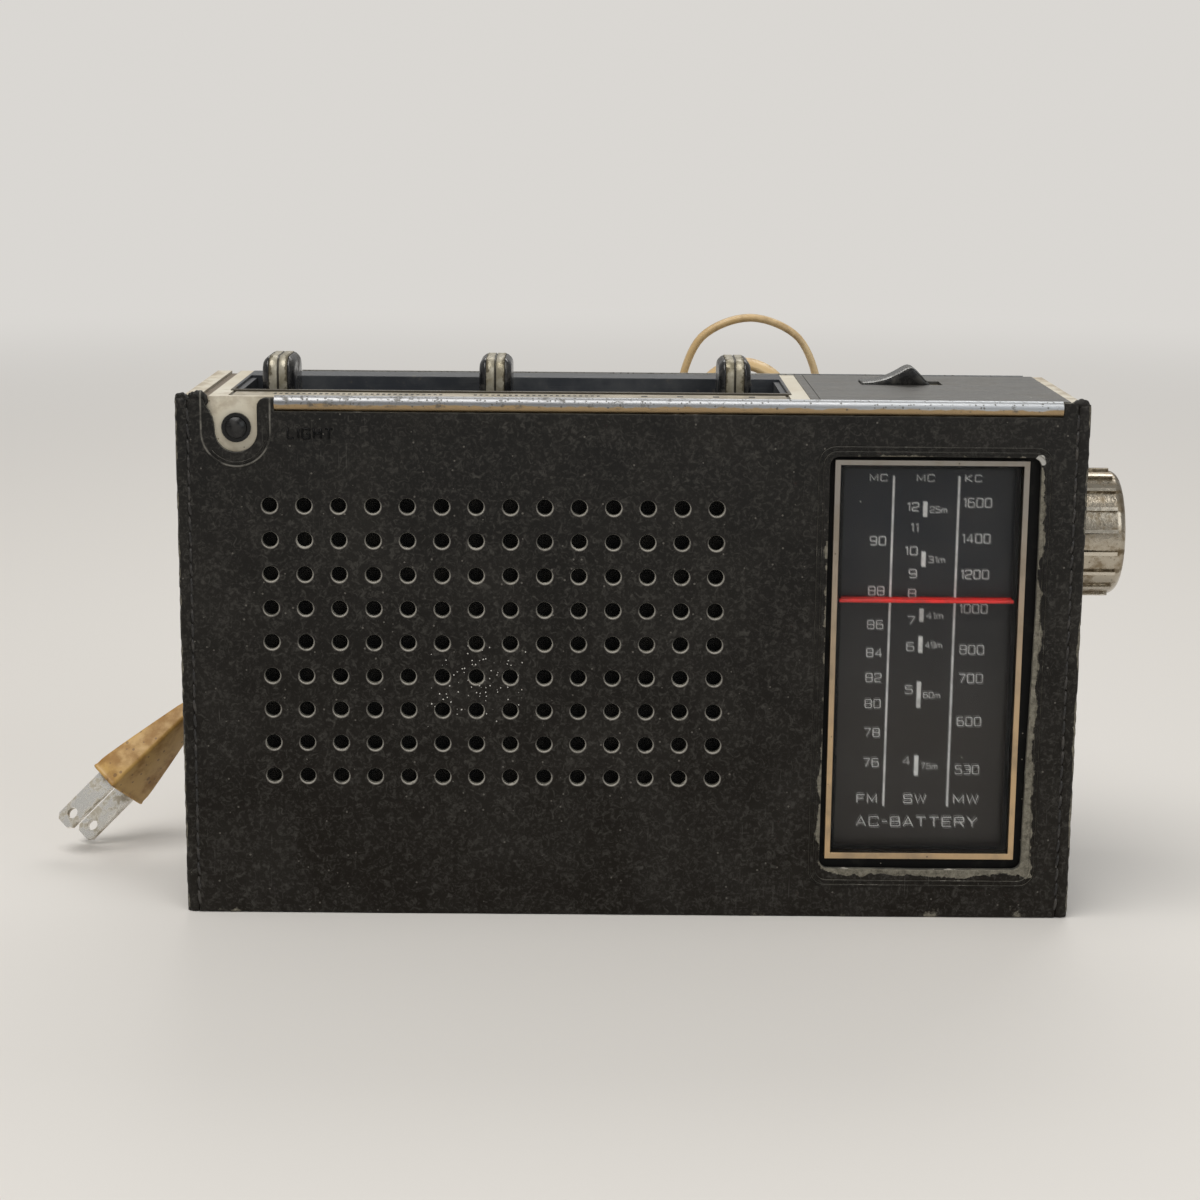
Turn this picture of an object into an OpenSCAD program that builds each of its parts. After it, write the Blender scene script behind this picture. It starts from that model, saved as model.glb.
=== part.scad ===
// Portable tabletop radio in a perforated leather case, in millimetres.
// Front faces -Y, right side is +X, up is +Z. Origin: centre of the case's base.

/* [Case] */
// Width of the leather case
case_w = 236; // [228:1:250]
// Depth of the leather case
case_d = 64; // [62:1:72]
// Height of the leather case
case_h = 139; // [136:1:150]
// Thickness of the leather
leather_t = 1.8; // [1.2:0.1:2.2]
// Rounding of the case's upright corners
edge_r = 1.6; // [0.8:0.1:1.7]
// Gap between leather and cabinet
case_fit = 0.2; // [0.1:0.05:0.4]

/* [Perforations] */
// Diameter of each hole punched in the leather
hole_d = 4; // [3:0.1:5]
// Spacing of the holes across
hole_pitch_x = 8.92; // [7:0.01:9]
// Spacing of the holes up
hole_pitch_z = 9.05; // [7:0.01:9.1]
// First column of holes, from the case's left side
field_left = 24; // [23:0.1:26]
// Last column of holes, from the dial frame
field_right = 30.4; // [28:0.1:34]
// Lowest row of holes above the table
field_low = 38.2; // [36:0.1:42]
// Highest row of holes below the case's top edge
field_drop = 28.4; // [26:0.1:32]
// Margin of the speaker window round the holes
window_margin = 3; // [2:0.1:3.4]
// Margin of the speaker board round its window
board_margin = 1.8; // [1:0.1:2]

/* [Cabinet] */
// Wall of the moulded cabinet
cab_wall = 2.2; // [1.6:0.1:2.6]
// Seam between the cabinet's halves, behind the middle
split_y = 6; // [5:0.5:8]
// Thickness of the top deck
deck_t = 2.4; // [2:0.1:3]
// Step from the case's top edge down to the deck
deck_drop = 0.4; // [0.2:0.1:0.8]
// Radius of the screw bosses
boss_r = 4; // [3.4:0.1:4.4]
// Radius of the cabinet screws
screw_r = 1.25; // [1:0.05:1.5]

/* [Trim bars] */
// Height of the bright bars along the top edges
bar_h = 4; // [3:0.1:4.6]
// How far a bar stands in front of the cabinet
bar_d = 2.3; // [2:0.1:2.8]
// Left end of the front bar, from the case's left side
bar_inset_l = 25.6; // [22:0.1:30]
// Right end of both bars, from the case's right side
bar_inset_r = 7.2; // [5:0.1:12]

/* [Light button] */
// Button centre from the case's left side
button_inset = 15.7; // [15.2:0.1:16.5]
// Button centre below the case's top edge
button_drop = 8.4; // [8:0.1:9]
// Radius of the button cap
button_r = 2.75; // [2.2:0.05:3]
// Radius of the ring round the cap
ring_r = 3.8; // [3.6:0.1:4.2]
// Travel of the button
button_travel = 1.5; // [1:0.1:1.8]
// Half width of the notch in the leather
notch_r = 5.5; // [5:0.1:6]

/* [Dial] */
// Width of the dial frame
dial_w = 50.4; // [46:0.1:52]
// Upper edge of the dial frame below the case's top edge
dial_drop = 15.4; // [15:0.1:20]
// Right edge of the dial frame, from the case's right side
dial_inset = 15.2; // [15:0.1:18]
// Lower edge of the dial frame above the table
dial_up = 16.2; // [16:0.1:18]
// Width of the dial frame's rim
dial_rim = 1.8; // [1.4:0.1:2.4]
// Gap from the frame to the leather, on the left
cut_gap_l = 1.4; // [1:0.1:1.6]
// Gap from the frame to the leather, on the right
cut_gap_r = 2.9; // [1:0.1:3]
// Gap from the frame to the leather, below
cut_gap_b = 2.7; // [1:0.1:3]
// Gap from the frame to the leather, above
cut_gap_t = 0.9; // [0.6:0.1:1.6]
// Thickness of the dial window
lens_t = 1.5; // [1:0.1:1.6]
// Height of the pointer above the table at rest
pointer_z = 86; // [60:1:110]
// Thickness of the pointer line
pointer_h = 1; // [0.6:0.1:1.4]

/* [Top controls] */
// Left end of the control tray, from the case's left side
tray_inset = 13.3; // [12.6:0.1:15]
// Width of the printed scale ledge
ledge_w = 11.3; // [9:0.1:12]
// Back edge of the tray, from the case's back
tray_back = 11; // [9.5:0.1:12]
// Depth of the finger trough below the scale ledge
trough_depth = 8.2; // [6:0.1:8.4]
// Wall of the tray
tray_wall = 1.5; // [1.2:0.1:1.8]
// Clearance of the tray in the deck
tray_fit = 0.1; // [0.05:0.05:0.2]
// Cream strip between tray and switch plate
strip_w = 5; // [4:0.1:6]
// Width of the brushed switch plate
plate_w = 67; // [60:1:68]
// Thickness of the switch plate
plate_t = 0.8; // [0.5:0.1:1]
// Volume lever from the tray's left end
volume_x = 10.5; // [8:0.1:14]
// Tone lever from the left end of its third of the tray
tone_x = 19.7; // [19:0.1:24]
// Band lever from the tray's right end
band_x = 13.6; // [11:0.1:16]
// What a third of the tray is longer than the travel of its slide
travel_margin = 18.6; // [18.2:0.1:24]
// How far the tone lever can go left from rest
tone_back = 12; // [8:0.5:12.5]
// Travel of the band switch
band_travel = 20; // [12:1:22]
// Length of a lever knob
knob_l = 20; // [16:0.5:22]
// Width of a lever knob across its cheeks
knob_w = 8.3; // [7:0.1:9]
// Width of the bright band over a lever knob
band_w = 4.9; // [4:0.1:5.4]
// Top of the lever knobs above the case's top edge
knob_rise = 9; // [7:0.5:10]

/* [Tuning] */
// Radius of the tuning knob
tune_r = 17.5; // [15:0.1:18]
// How far the knob stands out of the case
tune_out = 13.7; // [11:0.1:15]
// Knob axis behind the middle of the case
tune_y = -2; // [-3:0.5:0]
// Knob axis below the case's top edge
tune_drop = 38.8; // [38:0.1:39.4]
// Ribs round the knob
tune_ribs = 18; // [12:1:24]
// Width of a rib
rib_w = 1; // [0.8:0.1:1.4]
// How far a rib stands out of the knob
rib_rise = 0.8; // [0.5:0.1:1]
// Radius of the tuning shaft
shaft_r = 3; // [2.5:0.1:3.2]
// Radial running clearance of shafts in their bores
run_fit = 0.05; // [0.02:0.01:0.1]
// Room round the cord's circle on the drum, to the dial plate and to the back wall
drum_room = 4; // [3:0.1:6]
// Drum axis below the knob's axis
drum_drop = 28.2; // [28:0.1:30]

/* [Speaker] */
// Radius of the speaker frame
speaker_r = 46; // [40:0.5:46]
// Radius of the speaker magnet
magnet_r = 22; // [18:0.5:24]

/* [Power] */
// Diameter of each cell
cell_d = 26.2; // [22:0.1:26.2]
// Length of each cell
cell_l = 50; // [46:0.1:50]
// Travel that unlocks the battery cover
cover_travel = 6; // [4:0.5:7]

/* [Mains lead] */
// Width of the flat twin cord
cord_w = 4.8; // [4.4:0.1:5]
// Thickness of the flat twin cord
cord_t = 2.4; // [2.2:0.1:2.5]
// Spacing of the plug's blades
blade_pitch = 12.7; // [12.6:0.1:12.8]
// Width of a blade
blade_w = 6.35; // [6.2:0.05:6.5]
// Length of a blade
blade_l = 17.7; // [17:0.1:18.2]
// Thickness of a blade
blade_t = 1.5; // [1.4:0.1:1.6]
// Corner cut off a blade's tip
blade_tip = 1.3; // [1:0.1:1.8]

/* [Hidden] */

$fn = 48;
eps = 0.01;
cut = 1;

// Case planes
xl = -case_w / 2;
xr = case_w / 2;
yf = -case_d / 2;
yb = case_d / 2;
// Cabinet planes
cab_x = xr - leather_t - case_fit;
cab_f = yf + leather_t + case_fit;
cab_b = yb - leather_t - case_fit;
cab_z = leather_t + case_fit;
deck_top = case_h - deck_drop;
deck_z = deck_top - deck_t;
in_x = cab_x - cab_wall;
in_f = cab_f + cab_wall;
in_b = cab_b - cab_wall;
in_z = cab_z + cab_wall;
boss_x = in_x - boss_r - 0.5;
boss_low = in_z + boss_r + 2;
boss_high = deck_z - boss_r - 6.2;
// Battery door and screw bosses
door_l = -boss_x + boss_r + 1.5;
door_r = door_l + 2 * cell_l + 4;
door_low = in_z + 1;
door_high = door_low + 2 * cell_d + 4;
boss_places = [[-boss_x, boss_low], [boss_x, boss_low], [-boss_x, boss_high], [boss_x, boss_high]];
// Top controls
tray_l = xl + tray_inset;
plate_r = xr - 5;
plate_l = plate_r - plate_w;
tray_r = plate_l - strip_w;
tray_f = cab_f + 2.6;
lip_y = tray_f + ledge_w;
tray_b = yb - tray_back;
trough_b = tray_b - 4.7;
ledge_t = 1.6;
strip_t = 0.4;
ledge_top = deck_top - strip_t;
tray_floor = ledge_top - trough_depth;
tray_low = tray_floor - tray_wall;
flange = 2;
knob_y = (lip_y + trough_b) / 2 + 1.2;
knob_top = case_h + knob_rise;
knob_low = tray_floor + 0.5;
stem_w = 3;
stem_d = 2.4;
slot_gap = 0.4;
volume_pos = tray_l + volume_x;
third = (tray_r - tray_l) / 3;
pot_travel = third - travel_margin;
tone_pos = tray_l + third + tone_x;
band_pos = tray_r - band_x;
pot_h = 8;
pot_d = 8;
pot_end = 5;
// Power lever
lever_l = 18.6;
lever_d = 8.4;
lever_rise = 5;
lever_travel = 3.3;
lever_x = plate_l + 16.8;
lever_y = 7;
switch_d = 14;
// Dial
dial_r = xr - dial_inset;
dial_l = dial_r - dial_w;
dial_x = (dial_l + dial_r) / 2;
dial_h = case_h - dial_up - dial_drop;
dial_z = dial_up + dial_h / 2;
frame_f = yf + 0.4;
frame_b = cab_f + 1.8;
lip_t = 1.3;
bezel_m = 3.6;
bezel_b = cab_f + 4.4;
plate_thick = 0.8;
pointer_y = in_f + 0.7;
pointer_t = 0.8;
rail_x = dial_r + 5.8;
rail_r = 1.2;
rail_low = dial_up + 8;
rail_high = boss_high - boss_r - 3;
slider_h = 9;
clip_drop = 1.8;
// Light button
button_x = xl + button_inset;
button_z = case_h - button_drop;
// Hole field and speaker window
field_w = dial_l - field_right - xl - field_left;
field_h = case_h - field_drop - field_low;
hole_cols = floor(field_w / hole_pitch_x + 0.1) + 1;
hole_rows = floor(field_h / hole_pitch_z + 0.1) + 1;
grille_x = xl + field_left + field_w / 2;
grille_z = field_low + field_h / 2;
window_w = (hole_cols - 1) * hole_pitch_x + hole_d + 2 * window_margin - 4;
window_h = (hole_rows - 1) * hole_pitch_z + hole_d + 2 * window_margin - 4;
board_w = max(window_w, 2 * speaker_r) + 2 * board_margin;
board_h = max(window_h + board_margin, 2 * speaker_r) + 2;
// Drive
shaft_end = xr + 3.5;
shaft_start = in_x - 30;
bush_r = 5;
tune_z = case_h - tune_drop;
drum_r = (in_b - bezel_b - plate_thick) / 2 - drum_room;
drum_y = (in_b + bezel_b + plate_thick) / 2 + 0.5;
drum_z = tune_z - drum_drop;
drum_x = in_x - 21.5;
drum_t = 5;
flange_h = 1.1;
line_r = 0.4;
pulley_x = rail_x;
pulley_r = 3;
pulley_y = tune_y - shaft_r - pulley_r - line_r;
pulley_low = rail_low + 4;
pulley_high = rail_high - 5;
run_f = pulley_y - pulley_r - line_r;
run_b = pulley_y + pulley_r + line_r;
rail_y = run_f - 4.7;
// Speaker
board_t = 2.5;
baffle_b = in_f + board_t;
magnet_t = 10;
box_f = in_b - cell_d - 2.4;
magnet_b = box_f - 0.5;
cone_d = magnet_b - magnet_t - 1 - baffle_b;
// Electronics
parts_h = 12.2;
pcb_y = in_b - parts_h - 1.6;
pcb_t = 1.6;
pcb_low = door_high + 2;
pcb_high = tray_low - pot_h - 2.5;
rod_r = 5;
rod_y = in_b - rod_r - 1.6;
rod_z = pcb_high + 3;
// Mains lead
exit_x = 19;
exit_z = 110;
gland_l = 22;
lead_r = 1.7;
coil_x = -34;
coil_y = 70;
coil_in = 23.4;
coil_rows = 3;
coil_layers = 2;
plug_pos = [-147.7, 27.6, 17.8];
plug_tilt = 46.5;
plug_yaw = 17;
plug_roll = 44;

// ---------- shared shapes ----------
module block(x0, x1, y0, y1, z0, z1) {
    translate([x0, y0, z0]) cube([x1 - x0, y1 - y0, z1 - z0]);
}
module bar_x(r, x0, x1, y, z) {
    translate([x0, y, z]) rotate([0, 90, 0]) cylinder(r = r, h = x1 - x0);
}
module bar_y(r, y0, y1, x, z) {
    translate([x, y0, z]) rotate([-90, 0, 0]) cylinder(r = r, h = y1 - y0);
}
module bar_z(r, z0, z1, x, y) {
    translate([x, y, z0]) cylinder(r = r, h = z1 - z0);
}
// Flat outline in X and Z with rounded corners
module round_rect(x0, x1, z0, z1, r) {
    translate([x0 + r, z0]) square([x1 - x0 - 2 * r, z1 - z0]);
    translate([x0, z0 + r]) square([x1 - x0, z1 - z0 - 2 * r]);
    for (x = [x0 + r, x1 - r], z = [z0 + r, z1 - r]) translate([x, z]) circle(r);
}
// Upright slab from an X-Z outline, between two depths
module upright(y0, y1) {
    translate([0, y1, 0]) rotate([90, 0, 0]) linear_extrude(y1 - y0) children();
}
// Prism along X from a Y-Z outline
module along_x(x0, x1) {
    translate([x0, 0, 0]) rotate([90, 0, 90]) linear_extrude(x1 - x0) children();
}
// Plan of the front or back leather with rounded outer corners
module leather_plan() {
    translate([xl + edge_r, yf]) square([case_w - 2 * edge_r, leather_t]);
    translate([xl, yf + edge_r]) square([case_w, leather_t - edge_r]);
    for (x = [xl + edge_r, xr - edge_r]) intersection() {
        translate([x, yf + edge_r]) circle(edge_r);
        translate([x - edge_r, yf]) square([2 * edge_r, leather_t]);
    }
}

// ---------- leather case ----------
module case_front() {
    color([0.09, 0.09, 0.09]) difference() {
        linear_extrude(case_h) leather_plan();
        for (i = [0:hole_cols - 1], j = [0:hole_rows - 1])
            bar_y(hole_d / 2, yf - cut, yf + leather_t + cut,
                grille_x + (i - (hole_cols - 1) / 2) * hole_pitch_x,
                grille_z + (j - (hole_rows - 1) / 2) * hole_pitch_z);
        upright(yf - cut, yf + leather_t + cut) round_rect(dial_l - cut_gap_l,
            dial_r + cut_gap_r, dial_up - cut_gap_b, dial_up + dial_h + cut_gap_t, 2.5);
        bar_y(notch_r, yf - cut, yf + leather_t + cut, button_x, button_z - 0.8);
        block(button_x - notch_r, button_x + notch_r, yf - cut, yf + leather_t + cut,
            button_z - 0.8, case_h + cut);
        block(xl + bar_inset_l, xr - bar_inset_r, yf - cut, yf + leather_t + cut,
            case_h - bar_h, case_h + cut);
    }
}
module case_back() {
    color([0.09, 0.09, 0.09]) difference() {
        mirror([0, 1, 0]) linear_extrude(case_h) leather_plan();
        block(xl + bar_inset_l, xr - bar_inset_r, yb - leather_t - cut, yb + cut,
            case_h - bar_h, case_h + cut);
        bar_y(5.2, yb - leather_t - cut, yb + cut, exit_x, exit_z);
        upright(yb - leather_t - cut, yb + cut)
            round_rect(door_l + 2, door_r - 2, door_low + 2, door_high - 2, 3);
    }
}
module case_bottom() {
    color([0.09, 0.09, 0.09])
        block(xl + leather_t, xr - leather_t, yf + leather_t, yb - leather_t, 0, leather_t);
}
module case_side_left() {
    color([0.09, 0.09, 0.09])
        block(xl, xl + leather_t, yf + leather_t, yb - leather_t, 0, case_h);
}
module case_side_right() {
    color([0.09, 0.09, 0.09]) difference() {
        block(xr - leather_t, xr, yf + leather_t, yb - leather_t, 0, case_h);
        bar_x(bush_r + 2, xr - leather_t - cut, xr + cut, tune_y, tune_z);
    }
}

// ---------- bright bars ----------
module bar_section() {
    translate([cab_f - bar_d + bar_h / 2, case_h - bar_h]) square([bar_d - bar_h / 2, bar_h]);
    intersection() {
        translate([cab_f - bar_d + bar_h / 2, case_h - bar_h / 2]) circle(bar_h / 2);
        translate([cab_f - bar_d, case_h - bar_h]) square([bar_d, bar_h]);
    }
}
module front_trim_bar() {
    color([0.75, 0.75, 0.74])
        along_x(xl + bar_inset_l + 0.1, xr - bar_inset_r - 0.1) bar_section();
}
module back_trim_bar() {
    color([0.75, 0.75, 0.74]) mirror([0, 1, 0])
        along_x(xl + bar_inset_l + 0.1, xr - bar_inset_r - 0.1) bar_section();
}

// ---------- cabinet ----------
module cabinet_front() {
    color([0.85, 0.79, 0.66]) difference() {
        union() {
            difference() {
                block(-cab_x, cab_x, cab_f, split_y, cab_z, deck_z);
                block(-in_x, in_x, in_f, split_y + cut, in_z, deck_z + cut);
            }
            for (p = boss_places) bar_y(boss_r, in_f - eps, split_y, p[0], p[1]);
        }
        for (p = boss_places) bar_y(screw_r - 0.1, in_f + 4, split_y + cut, p[0], p[1]);
        upright(cab_f - cut, in_f + cut) round_rect(grille_x - window_w / 2,
            grille_x + window_w / 2, grille_z - window_h / 2, grille_z + window_h / 2, 3);
        upright(cab_f - cut, in_f + cut) round_rect(dial_l - bezel_m, dial_r + bezel_m,
            dial_up - bezel_m, dial_up + dial_h + bezel_m - 1, 2);
        bar_y(button_r + 0.2, cab_f - cut, in_f + cut, button_x, button_z);
        bar_x(bush_r, in_x - cut, cab_x + cut, tune_y, tune_z);
    }
}
module cabinet_back() {
    color([0.85, 0.79, 0.66]) difference() {
        union() {
            difference() {
                block(-cab_x, cab_x, split_y, cab_b, cab_z, deck_z);
                block(-in_x, in_x, split_y - cut, in_b, in_z, deck_z + cut);
            }
            for (p = boss_places) bar_y(boss_r, split_y, in_b + eps, p[0], p[1]);
        }
        for (p = boss_places) {
            bar_y(screw_r + 0.1, split_y - cut, cab_b + cut, p[0], p[1]);
            bar_y(2.6, cab_b - 2, cab_b + cut, p[0], p[1]);
        }
        block(door_l, door_r + cover_travel, in_b - cut, cab_b + cut, door_low, door_high);
        bar_y(4.2, in_b - cut, cab_b + cut, exit_x, exit_z);
    }
}
module cabinet_screws() {
    color([0.6, 0.6, 0.58]) for (p = boss_places) difference() {
        union() {
            bar_y(screw_r - 0.1, in_f + 6, cab_b - 1.9, p[0], p[1]);
            bar_y(2.5, cab_b - 2, cab_b - 0.4, p[0], p[1]);
        }
        block(p[0] - 3, p[0] + 3, cab_b - 1, cab_b, p[1] - 0.35, p[1] + 0.35);
    }
}

// ---------- top deck, tray and switch plate ----------
module top_deck() {
    color([0.85, 0.79, 0.66]) difference() {
        block(-cab_x, cab_x, cab_f, cab_b, deck_z, deck_top);
        block(tray_l, tray_r, tray_f, tray_b, deck_z - cut, deck_top + cut);
        block(plate_l, plate_r, cab_f + 0.4, cab_b - 0.4, deck_top - plate_t + 0.2, deck_top + cut);
        block(lever_x - 0.4, lever_x + lever_l + lever_travel + 0.4, lever_y - 0.4,
            lever_y + lever_d + 0.4, deck_z - cut, deck_top);
        block(xl + 6, xl + 8.5, cab_f - cut, cab_b + cut, deck_top - 0.8, deck_top + cut);
    }
}
module tray_section() {
    polygon([[tray_f + tray_fit, ledge_top - ledge_t], [lip_y - tray_wall, ledge_top - ledge_t],
        [lip_y - tray_wall, tray_low], [trough_b + tray_wall, tray_low],
        [trough_b + tray_wall, deck_z - tray_wall], [tray_b + flange, deck_z - tray_wall],
        [tray_b + flange, deck_z], [tray_b - tray_fit, deck_z],
        [tray_b - tray_fit, deck_top], [trough_b, deck_top],
        [trough_b, tray_floor], [lip_y, tray_floor],
        [lip_y, ledge_top], [tray_f + tray_fit, ledge_top]]);
}
module stem_slot(x, back, ahead) {
    block(x - back - stem_w / 2 - slot_gap, x + ahead + stem_w / 2 + slot_gap,
        knob_y - stem_d / 2 - slot_gap, knob_y + stem_d / 2 + slot_gap, tray_low - cut, tray_floor + cut);
}
module slide_tray() {
    color([0.15, 0.17, 0.2]) difference() {
        union() {
            along_x(tray_l + tray_fit, tray_r - tray_fit) tray_section();
            for (x = [tray_l + tray_fit, tray_r - tray_fit - tray_wall])
                block(x, x + tray_wall, lip_y - tray_wall, trough_b + tray_wall, tray_low, ledge_top);
            for (x = [tray_l - flange, tray_r - tray_fit - tray_wall])
                block(x, x + flange + tray_wall + tray_fit, lip_y - tray_wall, trough_b,
                    deck_z - tray_wall, deck_z);
        }
        stem_slot(volume_pos, 0, pot_travel);
        stem_slot(tone_pos, tone_back, pot_travel - tone_back);
        stem_slot(band_pos, band_travel, 0);
    }
}
module scale_strip() {
    color([0.62, 0.57, 0.47])
        block(tray_l + 1, tray_r - 1, tray_f + 0.5, lip_y - 3.3, ledge_top, deck_top);
}
module switch_plate() {
    color([0.22, 0.22, 0.23]) difference() {
        block(plate_l + 0.05, plate_r - 0.05, cab_f + 0.45, cab_b - 0.45,
            deck_top - plate_t + 0.2, deck_top + 0.2);
        block(lever_x - 0.2, lever_x + lever_l + lever_travel + 0.2, lever_y - 0.2,
            lever_y + lever_d + 0.2, deck_z, deck_top + cut);
        block(plate_l + 2, plate_l + 2.5, cab_f, cab_b, deck_top, deck_top + cut);
    }
}

// ---------- sliding lever knobs ----------
// Side outline of a lever knob, drawn in by g
module lever_side(g) {
    polygon([[knob_y - knob_l / 2 + g, knob_low], [knob_y + knob_l / 2 - g, knob_low],
        [knob_y + knob_l / 2 - g, knob_top - 4], [knob_y + knob_l / 2 - 3 - g / 2, knob_top - g],
        [knob_y - knob_l / 2 + 3 + g / 2, knob_top - g], [knob_y - knob_l / 2 + g, knob_top - 4]]);
}
module lever_body(x) {
    swell = (knob_w - band_w) / 2 - 0.3;
    barrel_r = (knob_l * knob_l / 4 + swell * swell) / (2 * swell);
    color([0.06, 0.06, 0.06]) {
        difference() {
            intersection() {
                along_x(x - knob_w, x + knob_w) lever_side(0.2);
                bar_z(barrel_r, knob_low - cut, knob_top + cut, x - barrel_r + knob_w / 2, knob_y);
                bar_z(barrel_r, knob_low - cut, knob_top + cut, x + barrel_r - knob_w / 2, knob_y);
            }
            difference() {
                block(x - band_w / 2, x + band_w / 2, knob_y - knob_l, knob_y + knob_l, knob_low - cut,
                    knob_top + cut);
                along_x(x - knob_w, x + knob_w) lever_side(0.8);
            }
        }
        block(x - stem_w / 2, x + stem_w / 2, knob_y - stem_d / 2, knob_y + stem_d / 2,
            tray_low - 5, knob_low + eps);
    }
}
module lever_band(x) {
    color([0.7, 0.68, 0.62]) difference() {
        along_x(x - band_w / 2, x + band_w / 2) lever_side(0);
        along_x(x - band_w, x + band_w) lever_side(0.8);
        difference() {
            block(x - 0.25, x + 0.25, knob_y - knob_l, knob_y + knob_l, knob_low - cut, knob_top + cut);
            along_x(x - band_w, x + band_w) lever_side(0.4);
        }
        block(x - band_w, x + band_w, knob_y - knob_l, knob_y + knob_l, knob_low - cut, knob_low + 0.01);
    }
}
module volume_lever() { lever_body(volume_pos); }
module volume_lever_band() { lever_band(volume_pos); }
module tone_lever() { lever_body(tone_pos); }
module tone_lever_band() { lever_band(tone_pos); }
module band_lever() { lever_body(band_pos); }
module band_lever_band() { lever_band(band_pos); }

// Slide control under the tray: a metal can with a slot for the lever's stem
module slide_body(x, back, ahead) {
    difference() {
        block(x - back - stem_w / 2 - pot_end, x + ahead + stem_w / 2 + pot_end,
            knob_y - pot_d / 2, knob_y + pot_d / 2, tray_low - pot_h, tray_low);
        block(x - back - stem_w / 2 - slot_gap, x + ahead + stem_w / 2 + slot_gap,
            knob_y - stem_d / 2 - slot_gap, knob_y + stem_d / 2 + slot_gap, tray_low - 6, tray_low + cut);
    }
}
module volume_control() { color([0.66, 0.66, 0.64]) slide_body(volume_pos, 0, pot_travel); }
module tone_control() {
    color([0.66, 0.66, 0.64]) slide_body(tone_pos, tone_back, pot_travel - tone_back);
}
module band_switch() { color([0.66, 0.66, 0.64]) slide_body(band_pos, band_travel, 0); }

// ---------- power switch ----------
// Wave profile of the power lever: a long concave rise and a steep far side
function wave_rise(n) = [for (i = [0:n]) let (t = i / n)
    [lever_x + 0.72 * lever_l * t, deck_top + 0.6 + (lever_rise - 0.6) * pow(t, 2.2)]];
function wave_fall(n) = [for (i = [1:n]) let (t = i / n)
    [lever_x + lever_l * (0.72 + 0.28 * pow(t, 0.8)),
        deck_top + 0.6 + (lever_rise - 0.6) * pow(1 - t, 1.3)]];
module power_lever() {
    color([0.07, 0.07, 0.07]) {
        upright(lever_y, lever_y + lever_d) polygon(concat([[lever_x, deck_top - 2]],
            wave_rise(10), wave_fall(6), [[lever_x + lever_l, deck_top - 2]]));
        block(lever_x + lever_l / 2 - 2, lever_x + lever_l / 2 + 2, lever_y + 2.5, lever_y + 5.5,
            deck_z - 4, deck_top - 2 + eps);
    }
}
module power_switch() {
    color([0.66, 0.66, 0.64]) difference() {
        block(lever_x, lever_x + lever_l + lever_travel, lever_y - 3, lever_y - 3 + switch_d,
            deck_z - 12, deck_z);
        block(lever_x + lever_l / 2 - 2.4, lever_x + lever_l / 2 + 2.4 + lever_travel,
            lever_y + 2.1, lever_y + 5.9, deck_z - 5, deck_z + cut);
    }
}

// ---------- light button ----------
module button_ring() {
    color([0.08, 0.08, 0.08]) difference() {
        bar_y(ring_r, cab_f - 1, cab_f, button_x, button_z);
        bar_y(button_r + 0.1, cab_f - 2, cab_f + cut, button_x, button_z);
    }
}
module light_button() {
    color([0.05, 0.05, 0.05]) translate([button_x, cab_f - 2.6, button_z]) rotate([-90, 0, 0])
        rotate_extrude() {
            intersection() {
                translate([0, 4]) circle(4);
                square([button_r, 4]);
            }
            translate([0, 2]) square([button_r, cab_wall + 1]);
            translate([0, cab_wall + 2.8]) square([button_r + 0.6, 1]);
            translate([0, cab_wall + 3.7]) square([1.2, 2.8]);
        }
}
module light_switch() {
    half = 2.3;
    color([0.42, 0.3, 0.14]) difference() {
        block(button_x - half, button_x + half, in_f + 3, in_f + 9, button_z - 4.5, button_z + 3.8);
        bar_y(1.5, in_f + 2, in_f + 6.5, button_x, button_z);
    }
    color([0.42, 0.3, 0.14]) for (s = [-1, 1])
        block(button_x - half, button_x + half, in_f, in_f + 3 + eps,
            button_z + (s > 0 ? 3.9 : -5.1), button_z + (s > 0 ? 5.1 : -3.9));
}

// ---------- dial ----------
module window_outline(g) {
    round_rect(dial_l + g, dial_r - g, dial_up + g, dial_up + dial_h - g, 1);
}
module dial_bezel() {
    color([0.05, 0.05, 0.05]) difference() {
        union() {
            upright(cab_f, in_f) round_rect(dial_l - bezel_m + 0.1, dial_r + bezel_m - 0.1,
                dial_up - bezel_m + 0.1, dial_up + dial_h + bezel_m - 1.1, 2);
            for (z = [dial_up - bezel_m + 0.1, dial_up + dial_h + 0.6])
                block(dial_l - 2, dial_r + 2, in_f - eps, bezel_b, z, z + 1.6);
        }
        upright(cab_f - cut, frame_b) window_outline(-0.1);
        upright(cab_f - cut, in_f + cut) window_outline(dial_rim + 1);
    }
}
module dial_frame() {
    color([0.72, 0.64, 0.5]) difference() {
        upright(frame_f, frame_b - 0.05) window_outline(0);
        upright(frame_f - cut, frame_b - lip_t) window_outline(dial_rim);
        upright(frame_f - cut, frame_b + cut) window_outline(dial_rim + 1);
    }
}
module dial_lens() {
    color([0.3, 0.3, 0.33, 0.4]) upright(frame_b - lip_t - lens_t, frame_b - lip_t)
        window_outline(dial_rim + 0.05);
}
module dial_plate() {
    color([0.05, 0.05, 0.07]) upright(bezel_b, bezel_b + plate_thick)
        round_rect(dial_l - 2, dial_r + 2, dial_up - bezel_m + 1, dial_up + dial_h + bezel_m - 2, 1);
}
module dial_lamps() {
    for (x = [dial_l + 7, dial_r - 7]) {
        color([0.3, 0.3, 0.3])
            block(x - 3, x + 3, bezel_b + plate_thick, bezel_b + 5.8, dial_up + dial_h - 8, dial_up + dial_h - 3);
        color([0.9, 0.85, 0.7]) bar_z(2.2, dial_up + dial_h - 17, dial_up + dial_h - 8, x, bezel_b + 3.3);
    }
}
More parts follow.
